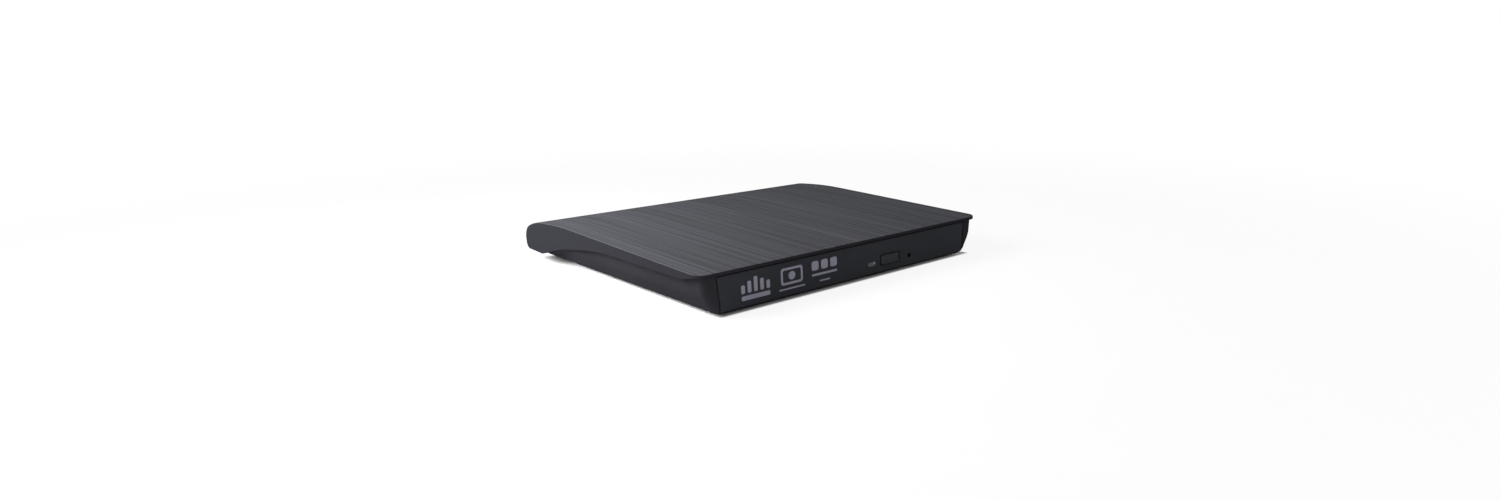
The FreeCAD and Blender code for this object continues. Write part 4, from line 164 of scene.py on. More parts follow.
class Tone:
    """A number or colour in a tree, with arithmetic that adds Math nodes."""

    def __init__(self, tree: Tree, socket: bpy.types.NodeSocket) -> None:
        """Wrap one output socket."""
        self.tree = tree
        self.socket = socket

    def _math(self, operation: str, *operands: "Tone | float") -> "Tone":
        """Add one Math node with these operands."""
        return self.tree.tone("Math", {"operation": operation}, dict(enumerate(operands)))

    def __add__(self, other: "Tone | float") -> "Tone":
        """Sum."""
        return self._math("ADD", self, other)

    def __radd__(self, other: "Tone | float") -> "Tone":
        """Sum with the tone on the right."""
        return self._math("ADD", other, self)

    def __sub__(self, other: "Tone | float") -> "Tone":
        """Difference."""
        return self._math("SUBTRACT", self, other)

    def __rsub__(self, other: "Tone | float") -> "Tone":
        """Difference with the tone on the right."""
        return self._math("SUBTRACT", other, self)

    def __mul__(self, other: "Tone | float") -> "Tone":
        """Product."""
        return self._math("MULTIPLY", self, other)

    def __rmul__(self, other: "Tone | float") -> "Tone":
        """Product with the tone on the right."""
        return self._math("MULTIPLY", other, self)

    def __pow__(self, other: "Tone | float") -> "Tone":
        """Power."""
        return self._math("POWER", self, other)

    def __abs__(self) -> "Tone":
        """Value without its sign."""
        return self._math("ABSOLUTE", self)

    def most(self, other: "Tone | float") -> "Tone":
        """The larger of two tones."""
        return self._math("MAXIMUM", self, other)

    def sine(self) -> "Tone":
        """Sine of the tone in radians."""
        return self._math("SINE", self)

    def between(self, low: float, high: float, out_low: float = 0.0, out_high: float = 1.0) -> "Tone":
        """Ramp smoothly from one value to another.

        Args:
            low: Input where the ramp starts.
            high: Input where the ramp ends.
            out_low: Value at and before the start.
            out_high: Value at and after the end.

        Returns:
            The ramped tone.
        """
        ends = {"Value": self, "From Min": low, "From Max": high, "To Min": out_low, "To Max": out_high}
        return self.tree.tone("MapRange", {"interpolation_type": "SMOOTHSTEP"}, ends)

    def band(self, low: float, high: float, blur: float) -> "Tone":
        """1 between two limits and 0 outside them, with soft sides.

        Args:
            low: Lower limit.
            high: Upper limit.
            blur: Width of each side.

        Returns:
            The mask.
        """
        return self.between(low - blur, low + blur) * self.between(high - blur, high + blur, 1.0, 0.0)

    def paint(self, first: "Colour | Tone", second: "Colour | Tone") -> "Tone":
        """Mix two colours by this tone.

        Args:
            first: Colour where the tone is 0.
            second: Colour where the tone is 1.

        Returns:
            The mixed colour.
        """
        return self.tree.tone("Mix", {"data_type": "RGBA"}, {0: self, 6: first, 7: second}, 2)


class Recipe(Tree):
    """Node tree of one material, read in the object's own metres."""

    def __init__(self, name: str) -> None:
        """Start a material with a bare Principled shader.

        Args:
            name: Name of the material.
        """
        self.material = bpy.data.materials.new(name)
        self.material.use_nodes = True
        super().__init__(self.material.node_tree)
        self.shader = self.tree.nodes["Principled BSDF"]
        self.place = self.tone("TexCoord", output="Object")

    def at(self, scale: "float | Sequence[float]", turn: float = 0.0,
           centre: Sequence[float] = (0, 0, 0)) -> Tone:
        """Move, turn and stretch the pattern's coordinates.

        Args:
            scale: Repeats per metre, for all axes or along X, Y and Z.
            turn: Turn of the pattern about Z, in radians, before the stretch.
            centre: Place in millimetres that becomes the pattern's origin.

        Returns:
            The mapped coordinates.
        """
        repeats = tuple(scale) if isinstance(scale, Sequence) else (scale,) * 3
        shift = Matrix.Rotation(-turn, 3, "Z") @ Vector(centre) * -MM
        mapped = self.tone("Mapping", {"vector_type": "POINT"}, {
            "Vector": self.place, "Location": tuple(shift), "Rotation": (0.0, 0.0, -turn)})
        return self.tone("VectorMath", {"operation": "MULTIPLY"}, {0: mapped, 1: repeats})

    def axis(self, index: int, turn: float = 0.0, centre: Sequence[float] = (0, 0, 0)) -> Tone:
        """Distance along one axis in millimetres.

        Args:
            index: 0, 1 or 2 for X, Y or Z.
            turn: Turn of the axes about Z, in radians.
            centre: Place in millimetres that the distance is measured from.

        Returns:
            The distance.
        """
        return self.tone("SeparateXYZ", None, {0: self.at(1 / MM, turn, centre)}, index)

    def along_strip(self, index: int) -> Tone:
        """Share of a strip's width (0) or length (1) at this point."""
        return self.tone("SeparateXYZ", None, {0: self.tone("UVMap", {"uv_map": STRIP_UV})}, index)

    def facing(self, index: int) -> Tone:
        """One part of the surface's own direction, from -1 to 1."""
        return self.tone("SeparateXYZ", None, {0: self.tone("NewGeometry", output="Normal")}, index)

    def noise(self, scale: "float | Sequence[float]", detail: float = 2.0, rough: float = 0.5,
              turn: float = 0.0) -> Tone:
        """Soft random pattern.

        Args:
            scale: Grains per metre, for all axes or along X, Y and Z.
            detail: Number of finer layers.
            rough: Weight of the finer layers.
            turn: Turn about Z in radians.

        Returns:
            The pattern, about 0.5 on average.
        """
        return self.tone("TexNoise", None, {
            "Vector": self.at(scale, turn), "Scale": 1.0, "Detail": detail, "Roughness": rough})

    def cells(self, scale: float) -> Tone:
        """Distance to the nearest of scattered points."""
        return self.tone("TexVoronoi", None, {"Vector": self.at(scale), "Scale": 1.0})

    def round(self, centre: Sequence[float], turn: float = 0.0) -> Tone:
        """Distance in millimetres from an upright axis."""
        across, along = self.axis(0, turn, centre), self.axis(1, turn, centre)
        return (across * across + along * along) ** 0.5

    def set(self, name: str, value: "Tone | Colour | float") -> None:
        """Give one shader socket what it shows.

        Args:
            name: Name of the socket.
            value: Its tone, colour or number.
        """
        socket = self.shader.inputs[name]
        if isinstance(value, Tone):
            self.tree.links.new(value.socket, socket)
        else:
            socket.default_value = (*value, 1.0) if isinstance(value, tuple) else value

    def relief(self, *layers: tuple[Tone, float]) -> None:
        """Add bumps.

        Args:
            layers: Pairs of a height tone and its depth in millimetres.
        """
        chain = {}
        for height, depth in layers:
            bump = self.tone("Bump", None, {
                "Height": height, "Strength": 1.0, "Distance": depth * MM, **chain})
            chain = {"Normal": bump}
        self.set("Normal", bump)


def tint(colour: Colour, share: float) -> Colour:
    """The same colour, lighter or darker by a share."""
    return tuple(min(c * share, 1.0) for c in colour)


# Finishes


@dataclass(frozen=True)
class Finish:
    """Base of the finishes: a name and a way to mix a material."""

    name: str

    def make(self) -> bpy.types.Material:
        """Build the material.

        Returns:
            The material.
        """
        recipe = Recipe(self.name)
        self.mix(recipe)
        return recipe.material

    def mix(self, recipe: Recipe) -> None:
        """Fill the recipe."""
        raise NotImplementedError


@dataclass(frozen=True)
class MouldedPlastic(Finish):
    """Spark-eroded plastic: fine grain and a slight drift of colour."""

    colour: Colour
    roughness: float = 0.5
    grain: float = 0.012
    grains_per_mm: float = 4.0
    drift: float = 0.08
    gloss: float = 0.3
    clouds: Place = (45.0, 45.0, 60.0)

    def mix(self, recipe: Recipe) -> None:
        """Mix a fine grain and slow clouds.

        Args:
            recipe: The recipe to fill.
        """
        fine = recipe.noise(self.grains_per_mm * 1000, 2.0, 0.6)
        broad = recipe.noise(self.clouds, 3.0, 0.55)
        drift = broad.between(0.3, 0.7) * 0.7 + fine.between(0.35, 0.65) * 0.3
        dark, light = tint(self.colour, 1 - self.drift), tint(self.colour, 1 + self.drift)
        recipe.set("Base Color", drift.paint(dark, light))
        recipe.set("Roughness", (fine - 0.5) * 0.12 + (broad - 0.5) * 0.1 + self.roughness)
        recipe.set("Specular IOR Level", self.gloss)
        recipe.relief((fine, self.grain))


@dataclass(frozen=True)
class Stroke:
    """One width of the cover's brushed lines."""

    across: float
    along: float
    detail: float
    rough: float
    weight: float


@dataclass(frozen=True)
class BrushedCover(Finish):
    """Charcoal cover whose top has fine lines brushed from front to rear; its plain skirts take a darker
    colour, which is painted shade.
    """

    top: Colour = (0.0585, 0.0593, 0.066)
    # Skirt colour, kept darker than the top as painted shade.
    side: Colour = (0.018, 0.018, 0.0215)
    contrast: float = 0.42
    roughness: float = 0.55
    gloss: float = 0.0
    strokes: tuple[Stroke, ...] = (
        Stroke(4200, 7, 2.0, 0.6, 0.24),
        Stroke(1500, 3, 3.0, 0.65, 0.5),
        Stroke(480, 1.5, 3.0, 0.65, 0.17),
        Stroke(55, 1.0, 2.0, 0.5, 0.09),
    )
    grains: float = 4000
    grain: float = 0.006
    bite: float = 0.006

    def brushed(self, recipe: Recipe) -> Tone:
        """Add up the lines of every width.

        Args:
            recipe: The recipe that they go into.

        Returns:
            The lines, about 0.5 on average.
        """
        layers = [recipe.noise((stroke.across, stroke.along, stroke.along), stroke.detail, stroke.rough)
                  * stroke.weight for stroke in self.strokes]
        total = layers[0]
        for layer in layers[1:]:
            total = total + layer
        return total

    def mix(self, recipe: Recipe) -> None:
        """Brush the top and leave the skirts plain, in their darker colour of painted shade.

        Args:
            recipe: The recipe to fill.
        """
        lines = self.brushed(recipe)
        on_top = recipe.facing(2).between(0.45, 0.8)
        dark, light = tint(self.top, 1 - self.contrast), tint(self.top, 1 + self.contrast)
        shade = lines.between(0.38, 0.62).paint(dark, light)
        grain = recipe.noise(self.grains, 2.0, 0.6)
        # The skirts take their darker colour by the surface's facing: painted shade.
        recipe.set("Base Color", on_top.paint(self.side, shade))
        recipe.set("Roughness", on_top * ((lines - 0.5) * 0.4 + (self.roughness - 0.5)) + 0.5)
        recipe.set("Specular IOR Level", self.gloss)
        recipe.relief((grain, self.grain), (lines * on_top, self.bite))


@dataclass(frozen=True)
class SheetMetal(Finish):
    """Rolled or ground metal with faint streaks."""

    colour: Colour
    roughness: float = 0.35
    streak: Place = (60.0, 1500.0, 1500.0)
    turn: float = 0.0
    spangle: float = 0.0
    blots: float = 90
    crystals: float = 160

    def mix(self, recipe: Recipe) -> None:
        """Mix streaks and blots, and crystals where the sheet is galvanised.

        Args:
            recipe: The recipe to fill.
        """
        line = recipe.noise(self.streak, 3.0, 0.6, self.turn)
        blot = recipe.noise(self.blots, 3.0, 0.6)
        cloud = line * 0.6 + blot * 0.4
        if self.spangle:
            cloud = cloud + recipe.cells(self.crystals) * self.spangle
        recipe.set("Base Color", cloud.between(0.3, 0.75).paint(tint(self.colour, 0.82), self.colour))
        recipe.set("Metallic", 1.0)
        recipe.set("Roughness", (line - 0.5) * 0.2 + (blot - 0.5) * 0.12 + self.roughness)
        recipe.relief((line, 0.003))


@dataclass(frozen=True)
class GroovedMetal(Finish):
    """Pale cast metal that is darker down in its grooves."""

    colour: Colour = (0.72, 0.7, 0.66)
    groove: Colour = (0.27, 0.26, 0.24)
    top: float = 8.55
    grains: float = 800

    def mix(self, recipe: Recipe) -> None:
        """Tell the faces from the grooves by their height.

        Args:
            recipe: The recipe to fill.
        """
        cloud = recipe.noise(self.grains, 3.0, 0.6)
        face = cloud.between(0.3, 0.75).paint(tint(self.colour, 0.85), self.colour)
        up = recipe.axis(2).between(self.top - 0.2, self.top - 0.03)
        recipe.set("Base Color", up.paint(self.groove, face))
        recipe.set("Metallic", up * 0.9)
        recipe.set("Roughness", (cloud - 0.5) * 0.25 + 0.42)
        recipe.relief((cloud, 0.01))


@dataclass(frozen=True)
class Rubber(Finish):
    """Matt black rubber with dust in its grain."""

    colour: Colour = (0.018, 0.018, 0.018)
    dust: float = 1.9
    grains: float = 2600
    clouds: float = 300

    def mix(self, recipe: Recipe) -> None:
        """Lay pale dust over the rubber in clouds.

        Args:
            recipe: The recipe to fill.
        """
        grain = recipe.noise(self.grains, 3.0, 0.6)
        cloud = recipe.noise(self.clouds, 3.0, 0.6)
        recipe.set("Base Color", cloud.between(0.45, 0.75).paint(self.colour, tint(self.colour, self.dust)))
        recipe.set("Roughness", (grain - 0.5) * 0.2 + 0.8)
        recipe.set("Specular IOR Level", 0.25)
        recipe.relief((grain, 0.02))


@dataclass(frozen=True)
class CircuitBoard(Finish):
    """Solder resist over tracks, with vias and bare pads."""

    resist: Colour = (0.012, 0.07, 0.03)
    track: Colour = (0.03, 0.14, 0.06)
    pad: Colour = (0.75, 0.7, 0.55)
    runs: Place = (260.0, 900.0, 200.0)
    cross_runs: Place = (900.0, 260.0, 200.0)
    vias: float = 420

    def mix(self, recipe: Recipe) -> None:
        """Cross two sets of tracks and scatter vias over them.

        Args:
            recipe: The recipe to fill.
        """
        run = recipe.noise(self.runs, 1.0, 0.3)
        cross_run = recipe.noise(self.cross_runs, 1.0, 0.3)
        tracks = run.between(0.5, 0.53).most(cross_run.between(0.53, 0.56))
        via = recipe.cells(self.vias).between(0.12, 0.16, 1.0, 0.0)
        recipe.set("Base Color", via.paint(tracks.paint(self.resist, self.track), self.pad))
        recipe.set("Metallic", via * 0.9)
        recipe.set("Roughness", via * 0.1 + 0.3)
        recipe.relief((tracks, 0.03))


@dataclass(frozen=True)
class StripCable(Finish):
    """Flat cable of many thin wires under a pale film, with a stiff blue end at each side."""

    film: Colour = (0.6, 0.59, 0.57)
    wire: Colour = (0.72, 0.71, 0.68)
    wires: int = 24
    end: Colour = (0.16, 0.26, 0.5)
    end_share: float = 0.03
    blots: float = 300

    def mix(self, recipe: Recipe) -> None:
        """Draw the wires along the strip and stain its ends.

        Args:
            recipe: The recipe to fill.
        """
        across, along = recipe.along_strip(0), recipe.along_strip(1)
        stripe = (across * (FULL_TURN * self.wires)).sine().between(-0.3, 0.3)
        blot = recipe.noise(self.blots, 2.0, 0.5)
        film = blot.between(0.3, 0.7).paint(tint(self.film, 0.9), self.film)
        stiff = 1 - along.band(self.end_share, 1 - self.end_share, 0.001)
        recipe.set("Base Color", stiff.paint(stripe.paint(film, self.wire), self.end))
        recipe.set("Roughness", stripe * 0.06 + 0.3)
        recipe.relief((stripe, 0.02))


@dataclass(frozen=True)
class PickupFilm(Finish):
    """Amber print of the pickup: copper lines, then a cream stiffener and a dark end."""

    film: Colour = (0.36, 0.16, 0.02)
    copper: Colour = (0.62, 0.36, 0.1)
    cream: Colour = (0.56, 0.48, 0.32)
    dark: Colour = (0.07, 0.035, 0.012)
    lines: int = 4
    cream_from: float = 0.59
    dark_from: float = 0.81
    clouds: float = 160

    def mix(self, recipe: Recipe) -> None:
        """Draw the lines along the print and change the film towards its end.

        Args:
            recipe: The recipe to fill.
        """
        across, along = recipe.along_strip(0), recipe.along_strip(1)
        drift = recipe.noise(self.clouds, 2.0, 0.5)
        stripe = ((across + (drift - 0.5) * 0.12) * (FULL_TURN * self.lines)).sine().between(0.2, 0.75)
        amber = stripe.paint(drift.between(0.3, 0.7).paint(tint(self.film, 0.75), self.film), self.copper)
        cream = drift.between(0.35, 0.65).paint(tint(self.cream, 0.8), self.cream)
        dark = drift.between(0.35, 0.65).paint(self.dark, tint(self.dark, 1.8))
        coat = along.between(self.cream_from - 0.01, self.cream_from + 0.01).paint(amber, cream)
        coat = along.between(self.dark_from - 0.01, self.dark_from + 0.01).paint(coat, dark)
        shine = along.between(self.cream_from - 0.03, self.cream_from + 0.01, 0.35, 0.0)
        recipe.set("Base Color", coat)
        recipe.set("Roughness", stripe * 0.06 + 0.24)
        recipe.set("Metallic", stripe * shine)
        recipe.relief((stripe, 0.02))


@dataclass(frozen=True)
class ClearMoulding(Finish):
    """Smoky light pipe of the bezel, with a painted glint on the end that its lamp sits behind."""

    dark: Colour = (0.022, 0.023, 0.026)
    light: Colour = (0.034, 0.035, 0.039)
    # Colour of the painted glint on the pipe's right end.
    lit: Colour = (0.15, 0.15, 0.165)
    painted_glint_x: tuple[float, float] = (9.35, 10.3)
    painted_glint_above: float = 6.0
    mists: float = 900
    refraction: float = 1.49

    def mix(self, recipe: Recipe) -> None:
        """Mist the plastic and paint a glint on its end.

        Args:
            recipe: The recipe to fill.
        """
        mist = recipe.noise(self.mists, 2.0, 0.5)
        # Painted glint: a lighter colour on the pipe's right end, above a height.
        painted_glint_mask = recipe.axis(0).band(*self.painted_glint_x, 0.25)
        painted_glint_mask = painted_glint_mask * recipe.axis(2).between(self.painted_glint_above - 0.1, self.painted_glint_above + 0.25)
        body = mist.between(0.3, 0.7).paint(self.dark, self.light)
        recipe.set("Base Color", painted_glint_mask.paint(body, self.lit))
        recipe.set("Roughness", (mist - 0.5) * 0.1 + 0.22)
        recipe.set("IOR", self.refraction)
        recipe.relief((mist, 0.004))


@dataclass(frozen=True)
class CoatedLens(Finish):
    """Objective lens with a blue coating and a pale ring round it that is a painted glare."""

    centre: Place
    bright: Colour = (0.16, 0.3, 0.62)
    deep: Colour = (0.02, 0.05, 0.14)
    # Colour of the painted glare ring.
    rim: Colour = (0.62, 0.68, 0.8)
    glass_radius: float = 1.1
    painted_glare_radii: tuple[float, float] = (1.12, 1.42)
    mists: float = 700

    def mix(self, recipe: Recipe) -> None:
        """Darken the coating from its middle to its rim, and paint a pale glare ring round it.

        Args:
            recipe: The recipe to fill.
        """
        mist = recipe.noise(self.mists, 2.0, 0.5)
        reach = recipe.round(self.centre) + (mist - 0.5) * 0.1
        glass = reach.between(0.2, self.glass_radius).paint(self.bright, self.deep)
        # Painted glare: a pale ring just past the glass.
        recipe.set("Base Color", reach.band(*self.painted_glare_radii, 0.1).paint(glass, self.rim))
        recipe.set("Roughness", (mist - 0.5) * 0.02 + 0.06)
        recipe.set("Coat Weight", mist * 0.1 + 0.85)
        recipe.relief((mist, 0.001))


@dataclass(frozen=True)
class LaserShield(Finish):
    """Cream pressed shield with a gilt corner at its outer end and a green one at its inner end."""

    gilt_at: Place
    green_at: Place
    cream: Colour = (0.5, 0.44, 0.38)
    gilt: Colour = (0.55, 0.32, 0.1)
    green: Colour = (0.33, 0.34, 0.23)
    gilt_reach: tuple[float, float] = (2.0, 3.2)
    green_reach: tuple[float, float] = (1.8, 2.9)
    clouds: float = 260

    def mix(self, recipe: Recipe) -> None:
        """Stain two ragged corners of the shield.

        Args:
            recipe: The recipe to fill.
        """
        cloud = recipe.noise(self.clouds, 3.0, 0.6)
        blush = cloud.between(0.35, 0.7).paint(self.cream, tint(self.cream, 1.25))
        ragged = (cloud - 0.5) * 3.0
        gold = (recipe.round(self.gilt_at) + ragged).between(*self.gilt_reach, 1.0, 0.0)
        corner = (recipe.round(self.green_at) + ragged).between(*self.green_reach, 1.0, 0.0)
        recipe.set("Base Color", gold.paint(corner.paint(blush, self.green), self.gilt))
        recipe.set("Metallic", gold * 0.4 + 0.25)
        recipe.set("Roughness", (cloud - 0.5) * 0.3 + 0.42)
        recipe.relief((cloud, 0.02))


@dataclass(frozen=True)
class PrintedMark(Finish):
    """Pale lavender ink of the bezel's plain marks."""

    ink: Colour = (0.2, 0.195, 0.245)
    flecks: float = 2500

    def mix(self, recipe: Recipe) -> None:
        """Fleck the ink finely.

        Args:
            recipe: The recipe to fill.
        """
        fleck = recipe.noise(self.flecks, 2.0, 0.6)
        recipe.set("Base Color", fleck.between(0.35, 0.65).paint(tint(self.ink, 0.86), self.ink))
        recipe.set("Roughness", (fleck - 0.5) * 0.1 + 0.5)
        recipe.set("Specular IOR Level", 0.3)
        recipe.relief((fleck, 0.004))


COVER = BrushedCover("brushed_cover")
SHELL = MouldedPlastic("shell_plastic", (0.0215, 0.0215, 0.025), 0.5, 0.01, gloss=0.0)
BEZEL = MouldedPlastic("bezel_plastic", (0.026, 0.027, 0.031), 0.46, 0.009, gloss=0.02)
LABEL = MouldedPlastic("under_plate_film", (0.045, 0.045, 0.05), 0.36, 0.004, 6.0, gloss=0.2)
BUTTON = MouldedPlastic("button_plastic", (0.030, 0.031, 0.035), 0.42, 0.007, gloss=0.05)
FOOT = Rubber("foot_rubber")
DAMPER = Rubber("damper_rubber", (0.021, 0.021, 0.022), 1.3)
BLACK_SCREW = SheetMetal("black_screw_steel", (0.13, 0.13, 0.14), 0.4, (900, 900, 900))
BRIGHT_SCREW = SheetMetal("bright_screw_steel", (0.5, 0.5, 0.49), 0.32, (900, 900, 900))
BOARD = CircuitBoard("circuit_board")
EPOXY = MouldedPlastic("chip_epoxy", (0.02, 0.02, 0.022), 0.5, 0.02, 9.0)
TIN = SheetMetal("tinned_metal", (0.66, 0.65, 0.62), 0.3, (900, 900, 900))
GOLD = SheetMetal("gilt_contact", (0.78, 0.55, 0.22), 0.25, (900, 900, 900))
COPPER = SheetMetal("enamelled_copper", (0.62, 0.27, 0.1), 0.34, (200, 9000, 200))
SOCKET = SheetMetal("socket_metal", (0.62, 0.62, 0.6), 0.28, (1500, 60, 1500))
BLACK = MouldedPlastic("black_moulding", (0.017, 0.017, 0.019), 0.42, 0.006)
ZINC = SheetMetal("zinc_sheet", (0.5, 0.5, 0.49), 0.38, (60, 1200, 1200), 0.0, 0.12)
PICKUP_SHEET = SheetMetal("pickup_sheet", (0.46, 0.46, 0.45), 0.36, (1200, 60, 60), FEED_TURN)
ROD = SheetMetal("ground_rod", (0.68, 0.68, 0.69), 0.16, (60, 1400, 1400), FEED_TURN)
RAIL = SheetMetal("rail_steel", (0.075, 0.075, 0.08), 0.36, (1300, 50, 1300))
# Painted shade: the feed motor and the motor base are made dark so that the zone under the plate's slot reads
# black.
SHADE_DARK_STEEL = SheetMetal("blackened_steel", (0.035, 0.035, 0.037), 0.45, (300, 300, 900))
ACETAL = MouldedPlastic("guide_acetal", (0.4, 0.39, 0.36), 0.4, 0.006)
CREAM = MouldedPlastic("cream_moulding", (0.6, 0.56, 0.44), 0.35, 0.004)
TRAY = MouldedPlastic("tray_plastic", (0.038, 0.037, 0.041), 0.55, 0.05, 2.6, 0.3, 0.25)
PLATE = MouldedPlastic("plate_paint", (0.056, 0.054, 0.059), 0.5, 0.014, 3.0, 0.12, 0.25)
RIVET = MouldedPlastic("rivet_paint", (0.12, 0.118, 0.124), 0.4, 0.01)
CASTING = SheetMetal("cast_frame", (0.42, 0.42, 0.43), 0.52, (700, 700, 700))
# Painted shade: the pickup body is made dark so that the holes in the pickup's cover read black.
SHADE_DARK_CASTING = SheetMetal("dark_cast_body", (0.09, 0.09, 0.092), 0.5, (700, 700, 700))
FINS = GroovedMetal("heat_sink_metal")
# Painted shade: the dark film laid round the spindle motor.
SHADE_FILM = MouldedPlastic("motor_film", (0.016, 0.016, 0.018), 0.34, 0.004, gloss=0.35)
TURNTABLE = MouldedPlastic("turntable_plastic", (0.04, 0.04, 0.045), 0.4, 0.006)
HUB = MouldedPlastic("hub_plastic", (0.075, 0.075, 0.082), 0.36, 0.004)
LENS = CoatedLens("coated_lens", feed_point(26.3, -0.2, 0.0))
SHIELD = LaserShield("laser_shield", feed_point(33.2, 7.2, 0.0), feed_point(20.6, 10.6, 0.0))
PRINT = PickupFilm("pickup_film")
CABLE = StripCable("strip_cable")
CLEAR = ClearMoulding("clear_moulding")
MARK = PrintedMark("printed_mark")

DRESS = (
    (COVER, ("top_cover",)),
    (SHELL, ("bottom_shell",)),
    (BEZEL, ("front_bezel",)),
    (BUTTON, ("eject_button",)),
    (FOOT, ("rubber_feet",)),
    (DAMPER, ("dampers", "turntable_mat")),
    (BLACK_SCREW, ("case_screws", "drive_screws", "board_screws", "lid_screws", "under_cover_screws",
                   "traverse_screws", "latch_pivot")),
    (BOARD, ("bridge_board", "main_board", "front_board")),
    (EPOXY, ("bridge_chips", "main_board_chips")),
    (SOCKET, ("usb_shell",)),
    (BLACK, ("usb_tongue", "bridge_connector", "drive_connector", "button_switch", "switch_plunger",
             "latch_solenoid", "lens_holder")),
    (ZINC, ("drive_chassis", "drive_lid", "under_cover")),
    (SHADE_DARK_STEEL, ("motor_base", "feed_motor")),
    (PICKUP_SHEET, ("pickup_cover",)),
    (ROD, ("latch_pin", "guide_rods", "lead_screw", "solenoid_plunger")),
    (RAIL, ("left_rail", "right_rail")),
    (ACETAL, ("left_guide", "right_guide", "latch_hook")),
    (TRAY, ("tray",)),
    (CLEAR, ("light_pipe",)),
    (CREAM, ("lamp", "flex_connector")),
    (CASTING, ("traverse_frame",)),
    (SHADE_DARK_CASTING, ("pickup_body",)),
    (FINS, ("heat_sink",)),
    (PLATE, ("traverse_plate",)),
    (TURNTABLE, ("rotor",)),
    (HUB, ("disc_hub", "hub_pawl_1", "hub_pawl_2", "hub_pawl_3", "feed_nut")),
    (LENS, ("lens",)),
    (SHIELD, ("pickup_shield",)),
    (PRINT, ("pickup_flex",)),
    (CABLE, ("tray_flex",)),
)


@dataclass
class Palette:
    """Makes each finish once and hands out its material."""

    made: dict[str, bpy.types.Material] = field(default_factory=dict)

    def material(self, finish: Finish) -> bpy.types.Material:
        """Find or build the material of a finish.

        Args:
            finish: The finish.

        Returns:
            Its material.
        """
        if finish.name not in self.made:
            self.made[finish.name] = finish.make()
        return self.made[finish.name]

    def dress_nodes(self) -> None:
        """Put the finishes on the CAD nodes."""
        for finish, names in DRESS:
            for name in names:
                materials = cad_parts[name].data.materials
                materials.clear()
                materials.append(self.material(finish))
        log.info("dressed %d nodes with %d finishes", len(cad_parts), len(self.made))


# Modelling


